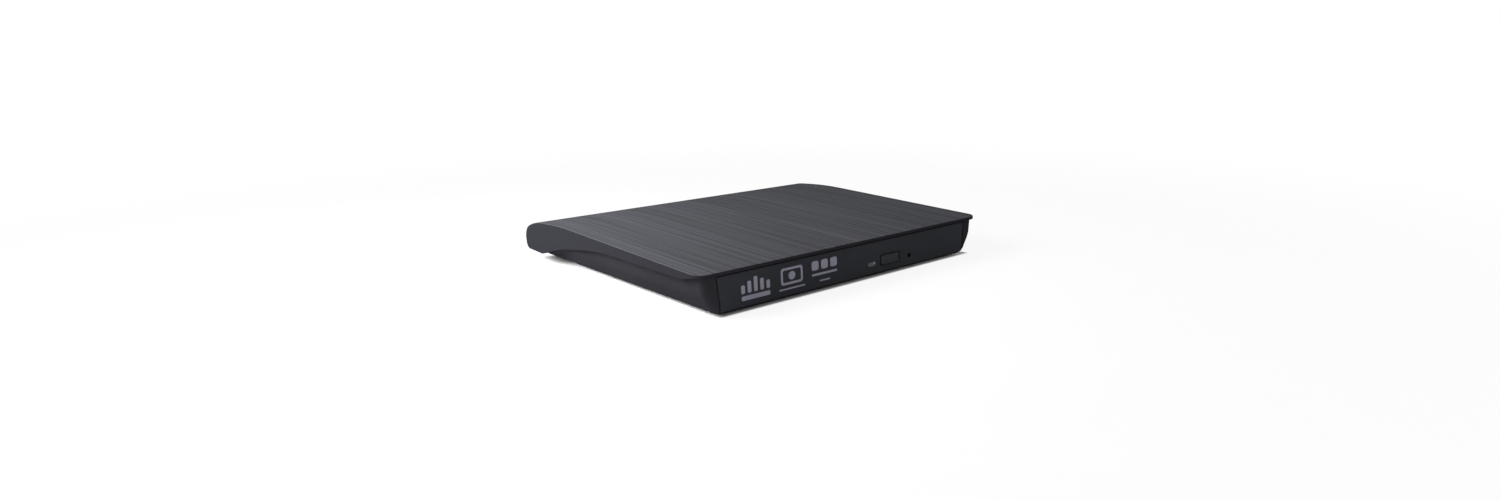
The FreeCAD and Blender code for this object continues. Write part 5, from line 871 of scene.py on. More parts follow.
class Shape:
    """One mesh under work, measured in millimetres."""

    def __init__(self, obj: bpy.types.Object, name: str) -> None:
        """Take hold of an object and name it."""
        self.obj = obj
        obj.name = obj.data.name = name

    @staticmethod
    def _clear() -> None:
        """Leave edit mode and deselect everything."""
        if bpy.context.object is not None and bpy.context.object.mode == "EDIT":
            bpy.ops.object.mode_set(mode="OBJECT")
        bpy.ops.object.select_all(action="DESELECT")

    @classmethod
    def block(cls, name: str, low: Place, high: Place) -> "Shape":
        """Start from a block between two corners.

        Args:
            name: Name of the piece.
            low: Lowest corner.
            high: Highest corner.

        Returns:
            The block.
        """
        cls._clear()
        middle = [(a + b) / 2 * MM for a, b in zip(low, high)]
        size = [(b - a) * MM for a, b in zip(low, high)]
        bpy.ops.mesh.primitive_cube_add(size=1.0, location=middle, scale=size)
        return cls(bpy.context.object, name)._settle()

    @classmethod
    def strip(cls, name: str, edges: tuple[float, float], route: Sequence[tuple[float, float]],
              thick: float) -> "Shape":
        """Model a flat strip that runs along Y and Z, with its own UV map.

        Args:
            name: Name of the piece.
            edges: Its two long sides, along X.
            route: Y and Z of its middle, from end to end, the first run level.
            thick: Its thickness.

        Returns:
            The strip.
        """
        cls._clear()
        (start, level), (turn, _) = route[0], route[1]
        bpy.ops.mesh.primitive_plane_add(size=1.0, location=(
            sum(edges) / 2 * MM, (start + turn) / 2 * MM, level * MM))
        bpy.context.object.scale = ((edges[1] - edges[0]) * MM, abs(turn - start) * MM, 1.0)
        strip = cls(bpy.context.object, name)._settle()
        strip.pick(lambda middle, way: abs(middle.y - turn) < 0.001, "EDGE")
        for (y, z), (next_y, next_z) in zip(route[1:], route[2:]):
            strip.pull(y=next_y - y, z=next_z - z)
        strip._clear()
        lengths = [0.0]
        for (y, z), (next_y, next_z) in zip(route, route[1:]):
            lengths.append(lengths[-1] + math.hypot(next_y - y, next_z - z))
        layer = strip.obj.data.uv_layers.new(name=STRIP_UV)
        for loop in strip.obj.data.loops:
            x, y, z = strip.obj.data.vertices[loop.vertex_index].co / MM
            nearest = min(range(len(route)), key=lambda i: math.hypot(route[i][0] - y, route[i][1] - z))
            share = (x - edges[0]) / (edges[1] - edges[0])
            layer.data[loop.index].uv = (share, lengths[nearest] / lengths[-1])
        return strip.modify("SOLIDIFY", thickness=thick * MM, offset=0.0)

    @classmethod
    def drum(cls, name: str, centre: Place, radius: float, height: float, sides: int = 32,
             top_radius: float | None = None) -> "Shape":
        """Start from an upright drum or cone.

        Args:
            name: Name of the piece.
            centre: Middle of its foot.
            radius: Radius of its foot.
            height: Height over its foot.
            sides: Number of sides.
            top_radius: Radius of its top, where it differs.

        Returns:
            The drum.
        """
        cls._clear()
        middle = (centre[0] * MM, centre[1] * MM, (centre[2] + height / 2) * MM)
        top = radius if top_radius is None else top_radius
        bpy.ops.mesh.primitive_cone_add(vertices=sides, radius1=radius * MM, radius2=top * MM,
                                        depth=height * MM, location=middle)
        return cls(bpy.context.object, name)._settle()

    def _grasp(self) -> None:
        """Make this the one selected, active object, in object mode."""
        self._clear()
        self.obj.select_set(True)
        bpy.context.view_layer.objects.active = self.obj

    def _settle(self) -> "Shape":
        """Move the object's place and size into its mesh.

        Returns:
            This shape.
        """
        self._grasp()
        bpy.ops.object.transform_apply(location=True, rotation=True, scale=True)
        return self

    def pick(self, test: Test, kind: str = "FACE") -> "Shape":
        """Select faces, edges or points in edit mode.

        Args:
            test: Says from its middle in millimetres and its direction whether an element is meant.
            kind: FACE, EDGE or VERT.

        Returns:
            This shape.
        """
        self._grasp()
        bpy.ops.object.mode_set(mode="EDIT")
        bpy.ops.mesh.select_mode(type=kind)
        bpy.ops.mesh.select_all(action="DESELECT")
        mesh = bmesh.from_edit_mesh(self.obj.data)
        mesh.normal_update()
        if kind == "FACE":
            facts = [(f, f.calc_center_median() / MM, f.normal) for f in mesh.faces]
        elif kind == "EDGE":
            facts = [(e, (e.verts[0].co + e.verts[1].co) / 2 / MM,
                      (e.verts[1].co - e.verts[0].co).normalized()) for e in mesh.edges]
        else:
            facts = [(v, v.co / MM, v.normal) for v in mesh.verts]
        for item, middle, direction in facts:
            if test(middle, direction):
                item.select_set(True)
        bmesh.update_edit_mesh(self.obj.data)
        return self

    def inset(self, width: float, depth: float = 0.0) -> "Shape":
        """Inset the picked faces, and sink or raise what is inside."""
        bpy.ops.mesh.inset(thickness=width * MM, depth=depth * MM)
        return self

    def pull(self, x: float = 0.0, y: float = 0.0, z: float = 0.0) -> "Shape":
        """Extrude what is picked by a move."""
        bpy.ops.mesh.extrude_region_move(TRANSFORM_OT_translate={"value": (x * MM, y * MM, z * MM)})
        return self

    def swell(self, share: float, about: Place) -> "Shape":
        """Scale what is picked about a point."""
        bpy.ops.transform.resize(value=(share,) * 3, center_override=tuple(c * MM for c in about))
        return self

    def divide(self, cuts: int) -> "Shape":
        """Subdivide what is picked."""
        bpy.ops.mesh.subdivide(number_cuts=cuts)
        return self

    def bevel(self, width: float, segments: int = 2) -> "Shape":
        """Round the picked edges."""
        bpy.ops.mesh.bevel(offset=width * MM, segments=segments, affect="EDGES")
        return self

    def modify(self, kind: str, **settings: object) -> "Shape":
        """Add one modifier and apply it.

        Args:
            kind: Blender's type name.
            settings: Its properties.

        Returns:
            This shape.
        """
        self._grasp()
        modifier = self.obj.modifiers.new(kind.lower(), kind)
        for name, value in settings.items():
            setattr(modifier, name, value)
        bpy.ops.object.modifier_apply(modifier=modifier.name)
        return self

    def soften(self, width: float, segments: int = 2, angle: float = 30.0) -> "Shape":
        """Round every edge sharper than an angle in degrees."""
        return self.modify("BEVEL", width=width * MM, segments=segments, limit_method="ANGLE",
                           angle_limit=math.radians(angle))

    def cut(self, *cutters: "Shape") -> "Shape":
        """Take other shapes out of this one and remove them.

        Args:
            cutters: The shapes to take out.

        Returns:
            This shape.
        """
        for cutter in cutters:
            self.modify("BOOLEAN", operation="DIFFERENCE", solver="EXACT", object=cutter.obj)
            bpy.data.objects.remove(cutter.obj)
        return self

    def row(self, count: int, x: float = 0.0, y: float = 0.0, z: float = 0.0) -> "Shape":
        """Repeat the shape in a row.

        Args:
            count: Number of copies in all.
            x: Step along X.
            y: Step along Y.
            z: Step along Z.

        Returns:
            This shape, with all the copies in its mesh.
        """
        return self.modify("ARRAY", count=count, use_relative_offset=False, use_constant_offset=True,
                           constant_offset_displace=(x * MM, y * MM, z * MM))

    def reshape(self, move: Callable[[Vector], Vector]) -> "Shape":
        """Move every point of the mesh.

        Args:
            move: Gives a point's new place for its old one, in millimetres.

        Returns:
            This shape.
        """
        self._clear()
        for point in self.obj.data.vertices:
            point.co = move(point.co / MM) * MM
        return self

    def lay(self, matrix: Matrix) -> "Shape":
        """Move and turn the mesh.

        Args:
            matrix: The move, in metres.

        Returns:
            This shape.
        """
        self._clear()
        self.obj.data.transform(matrix)
        return self

    def spread(self, places: Sequence[Matrix]) -> "Shape":
        """Copy the shape to each place and join the copies.

        Args:
            places: Matrices in metres, one for each copy.

        Returns:
            This shape, made of all the copies.
        """
        self._clear()
        copies = []
        for place in places:
            copy = self.obj.copy()
            copy.data = self.obj.data.copy()
            copy.data.transform(place)
            bpy.context.scene.collection.objects.link(copy)
            copies.append(Shape(copy, self.obj.name))
        name, model = self.obj.name, self.obj
        first = copies[0].join(*copies[1:])
        bpy.data.objects.remove(model)
        return Shape(first.obj, name)

    def join(self, *others: "Shape") -> "Shape":
        """Join other shapes to this one.

        Args:
            others: The shapes, which this one takes in.

        Returns:
            This shape.
        """
        self._grasp()
        for other in others:
            other.obj.select_set(True)
        bpy.ops.object.join()
        return self

    def mark(self, test: Test, index: int) -> "Shape":
        """Give some faces another of the piece's materials.

        Args:
            test: Says from its middle in millimetres and its direction whether a face is meant.
            index: Number of the material.

        Returns:
            This shape.
        """
        self._clear()
        for face in self.obj.data.polygons:
            if test(face.center / MM, face.normal):
                face.material_index = index
        return self

    def smooth(self, angle: float = 35.0) -> "Shape":
        """Shade the shape smooth but for its sharp edges.

        Args:
            angle: Angle in degrees from which an edge is sharp.

        Returns:
            This shape.
        """
        self._grasp()
        bpy.ops.object.shade_smooth_by_angle(angle=math.radians(angle))
        return self


class Track:
    """Line on the level that a strip is bent along, with rounded corners."""

    def __init__(self, corners: Sequence[tuple[float, float]], reach: float, steps: int = 6) -> None:
        """Round the corners and measure the line.

        Args:
            corners: Its ends and corners.
            reach: How far from a corner its rounding starts.
            steps: Number of runs in each rounding.
        """
        self.points = [Vector(corners[0])]
        for before, corner, after in zip(corners, corners[1:], corners[2:]):
            before, corner, after = Vector(before), Vector(corner), Vector(after)
            start = corner + (before - corner).normalized() * reach
            end = corner + (after - corner).normalized() * reach
            for i in range(steps + 1):
                t = i / steps
                self.points.append(start * (1 - t) ** 2 + corner * 2 * t * (1 - t) + end * t ** 2)
        self.points.append(Vector(corners[-1]))
        self.lengths = [0.0]
        for first, second in zip(self.points, self.points[1:]):
            self.lengths.append(self.lengths[-1] + (second - first).length)

    def bend(self, point: Vector) -> Vector:
        """Place of a point of a straight strip along Y once it follows the line.

        Args:
            point: The point, whose Y is a length along the line.

        Returns:
            The point beside the line.
        """
        index = min(range(len(self.lengths)), key=lambda i: abs(self.lengths[i] - point.y))
        here = self.points[index]
        before, after = self.points[max(index - 1, 0)], self.points[min(index + 1, len(self.points) - 1)]
        way = (after - before).normalized()
        return Vector((here.x + way.y * point.x, here.y - way.x * point.x, point.z))


# Sub-assemblies


@dataclass
class SubAssembly:
    """Base of the sub-assemblies: fits finished pieces to the frame."""

    palette: Palette

    def dress(self, shape: Shape, slot: Slot, *finishes: Finish) -> bpy.types.Object:
        """Give a finished piece its materials.

        Args:
            shape: The finished piece.
            slot: Slot of the record that it belongs to; not used.
            finishes: Its finishes, in the order of its material numbers.

        Returns:
            The piece's object.
        """
        obj = shape.smooth().obj
        while len(obj.data.materials) < len(finishes):
            obj.data.materials.append(None)
        for index, finish in enumerate(finishes):
            obj.data.materials[index] = self.palette.material(finish)
        return obj

    def fit(self, shape: Shape, body: Body, slot: Slot, *finishes: Finish,
            replaced: Sequence[str] = ()) -> bpy.types.Object:
        """Dress a piece and let it ride on a body.

        Args:
            shape: The finished piece.
            body: Body that carries it.
            slot: Slot of the record that it belongs to.
            finishes: Its finishes.
            replaced: CAD nodes that it stands for.

        Returns:
            The piece's object.
        """
        obj = self.dress(shape, slot, *finishes)
        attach(obj, body.value)
        if replaced:
            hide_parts(*replaced)
        log.info("%s rides on %s, %d faces", obj.name, body.value, len(obj.data.polygons))
        return obj


@dataclass
class BezelMarks(SubAssembly):
    """Three plain printed marks in the places of the bezel's print."""

    face: float = -70.0
    ink: float = 0.03
    sunk: float = 0.02
    ladder_x: tuple[float, float] = (-54.8, -42.2)
    ladder_step: float = 2.75
    ladder_bar: float = 1.6
    ladder_foot: float = 6.9
    ladder_tops: tuple[float, ...] = (10.1, 11.3, 12.5, 11.3, 10.1)
    ladder_base: tuple[float, float] = (4.3, 6.0)
    window_x: tuple[float, float] = (-37.2, -27.0)
    window_z: tuple[float, float] = (6.3, 12.8)
    window_rim: float = 0.9
    dot_radius: float = 1.6
    tile_x: float = -22.6
    tile_step: float = 4.6
    tile_width: float = 3.4
    tile_z: tuple[float, float] = (9.2, 12.9)
    tiles: int = 3
    wide_z: tuple[float, float] = (7.0, 7.9)
    short_inset: float = 3.7
    line_z: tuple[float, float] = (4.4, 5.0)
    line_reach: float = 1.0

    def bar(self, name: str, x: tuple[float, float], z: tuple[float, float], corner: float) -> Shape:
        """Model one bar of ink with rounded corners.

        Args:
            name: Name of the bar.
            x: Its left and right end.
            z: Its lower and upper side.
            corner: Radius of its corners.

        Returns:
            The bar.
        """
        bar = Shape.block(name, (x[0], self.face - self.ink, z[0]), (x[1], self.face + self.sunk, z[1]))
        return bar.pick(lambda middle, way: abs(way.y) > 0.9, "EDGE").bevel(corner, 5)

    def ladder(self) -> Shape:
        """Model the left mark: upright bars over a long one.

        Returns:
            The mark.
        """
        lefts = [self.ladder_x[0] + self.ladder_step * i for i in range(len(self.ladder_tops))]
        bars = [self.bar("ladder", (left, left + self.ladder_bar), (self.ladder_foot, top), corner=0.55)
                for left, top in zip(lefts, self.ladder_tops)]
        base = self.bar("mark_left", self.ladder_x, self.ladder_base, corner=0.6)
        return base.join(*bars)

    def window(self) -> Shape:
        """Model the middle mark: a rounded frame round a dot, over a thin bar.

        Returns:
            The mark.
        """
        (left, right), (low, high), rim = self.window_x, self.window_z, self.window_rim
        x, z, radius = (left + right) / 2, (low + high) / 2, self.dot_radius
        outer = self.bar("mark_middle", self.window_x, self.window_z, corner=1.1)
        outer.cut(self.bar("opening", (left + rim, right - rim), (low + rim, high - rim), corner=0.6))
        dot = self.bar("dot", (x - radius, x + radius), (z - radius, z + radius), corner=1.55)
        line = self.bar("line", (left - self.line_reach, right + self.line_reach), self.line_z, corner=0.25)
        return outer.join(dot, line)

    def steps(self) -> Shape:
        """Model the right mark: lozenges over two thin bars.

        Returns:
            The mark.
        """
        lefts = [self.tile_x + self.tile_step * i for i in range(self.tiles)]
        tiles = [self.bar("tile", (left, left + self.tile_width), self.tile_z, corner=0.9) for left in lefts]
        left, right, inset = self.tile_x, lefts[-1] + self.tile_width, self.short_inset
        wide = self.bar("mark_right", (left, right), self.wide_z, corner=0.4)
        short = self.bar("short", (left + inset, right - inset), self.line_z, corner=0.25)
        return wide.join(short, *tiles)

    def build(self) -> None:
        """Model and fit the marks."""
        for mark in (self.ladder(), self.window(), self.steps()):
            self.fit(mark, Body.TRAY, Slot.BEZEL, MARK)


@dataclass
class RearSocket(SubAssembly):
    """Spring contacts on both sides of the rear socket's tongue."""

    middle_x: float = 4.5
    pitch: float = 0.52
    count: int = 12
    width: float = 0.26
    thick: float = 0.07
    sunk: float = 0.02
    tip: float = 0.25
    tip_share: float = 0.55
    y: tuple[float, float] = (63.4, 68.9)
    under: float = 7.47
    over: float = 8.17

    def contacts(self, name: str, z: float, way: float) -> Shape:
        """Model one row of contacts.

        Args:
            name: Name of the row.
            z: Height of the tongue's face.
            way: 1 over the tongue, -1 under it.

        Returns:
            The row.
        """
        left, half = self.middle_x - self.pitch * (self.count - 1) / 2, self.width / 2
        low, high = sorted((z - way * self.sunk, z + way * self.thick))
        blade = Shape.block(name, (left - half, self.y[0], low), (left + half, self.y[1], high))
        blade.pick(lambda middle, facing: facing.y > 0.9).pull(y=self.tip)
        blade.swell(self.tip_share, (left, self.y[1] + self.tip, z))
        return blade.soften(0.02, 1).row(self.count, x=self.pitch)

    def build(self) -> None:
        """Model and fit both rows."""
        for name, z, way in (("over", self.over, 1), ("under", self.under, -1)):
            self.fit(self.contacts("socket_contacts_" + name, z, way), Body.CASE, Slot.SOCKET, GOLD)


@dataclass(frozen=True)
class ScrewSet:
    """Like screws that face one way: their size, their places and the node that they stand for."""

    name: str
    radius: float
    height: float
    shank: float
    places: tuple[Place, ...]
    facing: Place
    body: Body
    finish: Finish
    replaced: tuple[str, ...] = ()
    cone: float | None = None


UP, DOWN = (0.0, 0.0, 1.0), (0.0, 0.0, -1.0)
LEFT, RIGHT = (-1.0, 0.0, 0.0), (1.0, 0.0, 0.0)
LID_SCREW_Z = 12.3
MOTOR_SCREW_RING = 19.9
SCREW_SETS = (
    ScrewSet("chassis_screws", 1.7, 0.75, 1.2, ((-52.0, 44.0, 1.65), (52.0, 44.0, 1.65)),
             DOWN, Body.CASE, BLACK_SCREW, ("drive_screws",), 0.93),
    ScrewSet("bridge_screws", 1.6, 0.7, 0.5, ((-5.5, 63.75, 6.2), (14.0, 63.75, 6.2)),
             UP, Body.CASE, BRIGHT_SCREW, ("board_screws",)),
    ScrewSet("cover_plate_screws", 1.5, 0.2, 0.3,
             ((-54.0, -61.5, 3.2), (24.5, -52.0, 3.2), (-52.0, 47.0, 3.2), (29.0, 44.0, 3.2)),
             DOWN, Body.TRAY, BLACK_SCREW, ("under_cover_screws",)),
    ScrewSet("lid_screws_left", 1.4, 0.6, 0.5, ((-64.0, -30.0, LID_SCREW_Z), (-64.0, 30.0, LID_SCREW_Z)),
             LEFT, Body.CASE, BRIGHT_SCREW, ("lid_screws",)),
    ScrewSet("lid_screws_right", 1.4, 0.6, 0.5, ((64.0, -30.0, LID_SCREW_Z), (64.0, 30.0, LID_SCREW_Z)),
             RIGHT, Body.CASE, BRIGHT_SCREW),
    ScrewSet("damper_screws", 1.9, 0.6, 2.0,
             tuple(feed_point(along, across, 7.3) for along, across in (
                 (30.0, -29.0), (-20.0, -27.0), (-19.5, 14.0), (24.0, 33.0))),
             UP, Body.TRAY, BLACK_SCREW, ("traverse_screws",)),
    ScrewSet("motor_screws", 1.5, 0.7, 1.0,
             tuple(feed_point(MOTOR_SCREW_RING * math.cos(a), MOTOR_SCREW_RING * math.sin(a), 5.4)
                   for a in (math.radians(45.4), math.radians(165.0), math.radians(-75.0))),
             UP, Body.TRAY, BRIGHT_SCREW),
)


@dataclass
class Screws(SubAssembly):
    """Cross-recessed heads in the place of the CAD's plain ones.

    The neck and the recess are shares of a head's radius, the rounding and the recess's depth of its height.
    """

    sets: tuple[ScrewSet, ...] = SCREW_SETS
    sides: int = 28
    neck: float = 0.45
    rounding: float = 0.3
    recess_depth: float = 0.62
    recess_reach: float = 0.62
    recess_half: float = 0.17

    def screw(self, size: ScrewSet) -> Shape:
        """Model one screw that stands on the origin and faces up.

        Args:
            size: The set that it is for.

        Returns:
            The screw.
        """
        radius, height = size.radius, size.height
        foot = radius if size.cone is None else size.cone
        screw = Shape.drum(size.name, (0, 0, 0), foot, height, self.sides, radius)
        screw.pick(lambda middle, way: way.z < -0.9)
        if size.cone is None:
            screw.inset(radius * self.neck)
        screw.pull(z=-size.shank)
        if size.cone is None:
            screw.pick(lambda middle, way: abs(way.z) < 0.1 and middle.z > height * 0.9, "EDGE")
            screw.bevel(height * self.rounding, 2)
        floor = height * (1 - self.recess_depth)
        long, short = radius * self.recess_reach, radius * self.recess_half
        for x, y in ((long, short), (short, long)):
            screw.cut(Shape.block("recess", (-x, -y, floor), (x, y, height + 1)))
        return screw

    def build(self) -> None:
        """Model one screw of each set, copy it to its places and fit the copies."""
        for size in self.sets:
            turn = Vector(size.facing).to_track_quat("Z", "Y").to_matrix().to_4x4()
            copies = self.screw(size).spread([
                Matrix.Translation(Vector(place) * MM) @ turn for place in size.places])
            self.fit(copies, size.body, Slot.SCREW, size.finish, replaced=size.replaced)


@dataclass
class FeedScrew(SubAssembly):
    """Lead screw with the helical groove that drives the pickup."""

    across: float = 25.8
    height: float = 6.6
    start: float = -5.5
    thread: tuple[float, float] = (8.5, 50.2)
    end: float = 51.6
    radius: float = 1.2
    journal: float = 0.9
    taper: float = 0.15
    lead: float = 3.0
    groove: float = 0.34
    share: float = 0.42
    sides: int = 20
    rings_per_turn: int = 18

    def bitten(self, point: Vector) -> Vector:
        """Place of a point of the screw once its groove is cut.

        Args:
            point: The point, with the screw upright on the origin.

        Returns:
            The point, nearer to the axis where the groove runs.
        """
        low, high = (edge - self.start for edge in self.thread)
        reach = math.hypot(point.x, point.y)
        if not low + self.taper * 2 < point.z < high - self.taper * 2 or reach < self.journal:
            return point
        phase = (point.z / self.lead + math.atan2(point.y, point.x) / FULL_TURN) % 1.0
        bite = max(0.0, 1 - (abs(phase - 0.5) * 2 / self.share) ** 2)
        new_reach = reach - self.groove * bite
        return Vector((point.x * new_reach / reach, point.y * new_reach / reach, point.z))

    def build(self) -> None:
        """Model and fit the screw."""
        low, high = (edge - self.start for edge in self.thread)
        screw = Shape.drum("feed_screw", (0, 0, 0), self.journal, low, self.sides)
        screw.pick(lambda middle, way: way.z > 0.9 and middle.z > low - 0.1)
        screw.pull(z=self.taper).swell(self.radius / self.journal, (0, 0, low + self.taper))
        screw.pull(z=high - low - self.taper * 2)
        screw.pull(z=self.taper).swell(self.journal / self.radius, (0, 0, high))
        screw.pull(z=self.end - self.start - high)
        screw.pick(lambda middle, way: abs(way.z) > 0.99 and abs(middle.z - (low + high) / 2) < 1.0, "EDGE")
        screw.divide(int((high - low) / self.lead * self.rings_per_turn))
        screw.reshape(self.bitten)
        stand = Matrix.Translation(Vector((self.start, self.across, self.height)) * MM)
        screw.lay(feed_place() @ stand @ Matrix.Rotation(math.pi / 2, 4, "Y"))
        self.fit(screw, Body.SCREW, Slot.ROD, ROD, replaced=("lead_screw",))


@dataclass
class TrayCable(SubAssembly):
    """Flat cable from the main board to the tray, folded twice under the notch."""

    edges: tuple[float, float] = (40.2, 48.4)
    thick: float = 0.2
    socket: tuple[float, float] = (22.95, 4.7)
    drop_from: float = 0.8
    drop_to: float = 4.0
    floor_z: float = 2.95
    middle_z: float = 3.95
    top_z: float = 6.55
    middle_y: float = -20.0
    front_y: float = -51.5
    rear_y: float = 14.7
    tray_y: float = -54.6
    still_gap: float = 4.0
    fold_gap: float = 1.0
    fold_steps: int = 14
    drop_steps: int = 8

    def fold(self, y: float, low: float, high: float, way: float) -> list[tuple[float, float]]:
        """Half circle between two runs.

        Args:
            y: Where the runs end.
            low: Height of the lower run.
            high: Height of the upper run.
            way: 1 for a fold at the rear, -1 for one at the front.

        Returns:
            Points of the fold from the lower run to the upper one.
        """
        radius = (high - low) / 2
        turns = [math.pi * (i / self.fold_steps - 0.5) for i in range(self.fold_steps + 1)]
        return [(y + way * radius * math.cos(t), low + radius + radius * math.sin(t)) for t in turns]

    def drop(self) -> list[tuple[float, float]]:
        """Soft slope from the board's connector down to the floor.

        Returns:
            Points of the slope.
        """
        y, z = self.socket
        shares = [i / self.drop_steps for i in range(self.drop_steps + 1)]
        return [(y - self.drop_from + (self.drop_from - self.drop_to) * t,
                 z + (self.floor_z - z) * t * t * (3 - 2 * t)) for t in shares]

    def build(self) -> None:
        """Model the still run and the folded run, fit the still run and dress the folded one."""
        still_end = (self.front_y + self.still_gap, self.floor_z)
        still = [self.socket, *self.drop(), (self.middle_y, self.floor_z), still_end]
        moving = [still_end, (self.front_y + self.fold_gap, self.floor_z),
                  *self.fold(self.front_y, self.floor_z, self.middle_z, -1.0), (self.middle_y, self.middle_z),
                  *self.fold(self.rear_y, self.middle_z, self.top_z, 1.0), (self.middle_y, self.top_z),
                  (self.tray_y, self.top_z)]
        self.fit(Shape.strip("board_cable", self.edges, still, self.thick), Body.CASE, Slot.FLEX, CABLE,
                 replaced=("tray_flex",))
        obj = self.dress(Shape.strip("tray_cable", self.edges, moving, self.thick), Slot.FLEX, CABLE)
        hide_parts("tray_flex")
        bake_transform(obj)
        log.info("%s bends between %s and %s", obj.name, Body.CASE.value, Body.TRAY.value)


@dataclass
class PickupPrint(SubAssembly):
    """Flexible print from the pickup's outer end to the rim of the tray."""

    start: float = 35.2
    end: float = 56.1
    edges: tuple[float, float] = (-7.0, -2.2)
    narrow: float = 1.7
    narrow_from: float = 0.45
    narrow_over: float = 0.2
    height: float = 6.16
    thick: float = 0.12
    wave: float = 0.35
    steps: int = 40
    held: float = 1.0

    def shaped(self, point: Vector) -> Vector:
        """Place of a point once the print is narrowed and waved.

        Args:
            point: The point, with the print along Y.

        Returns:
            The point, drawn in on the window's side past the print's middle.
        """
        t = (point.y - self.start) / (self.end - self.start)
        ease = min(max((t - self.narrow_from) / self.narrow_over, 0.0), 1.0)
        share = (-self.edges[0] - point.x) / (self.edges[1] - self.edges[0])
        x = point.x + self.narrow * share * ease * ease * (3 - 2 * ease)
        return Vector((x, point.y, point.z + self.wave * math.sin(math.pi * t) ** 2))

    def build(self) -> None:
        """Model the print, narrowed and waved along its run from the pickup to the tray, and dress it."""
        route = [(self.start + (self.end - self.start) * i / self.steps, self.height)
                 for i in range(self.steps + 1)]
        film = Shape.strip("pickup_print", (-self.edges[1], -self.edges[0]), route, self.thick)
        film.reshape(self.shaped).lay(feed_place() @ Matrix.Rotation(-math.pi / 2, 4, "Z"))
        obj = self.dress(film, Slot.FLEX, PRINT)
        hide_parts("pickup_flex")
        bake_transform(obj)
        log.info("%s bends between %s and %s", obj.name, Body.PICKUP.value, Body.TRAY.value)


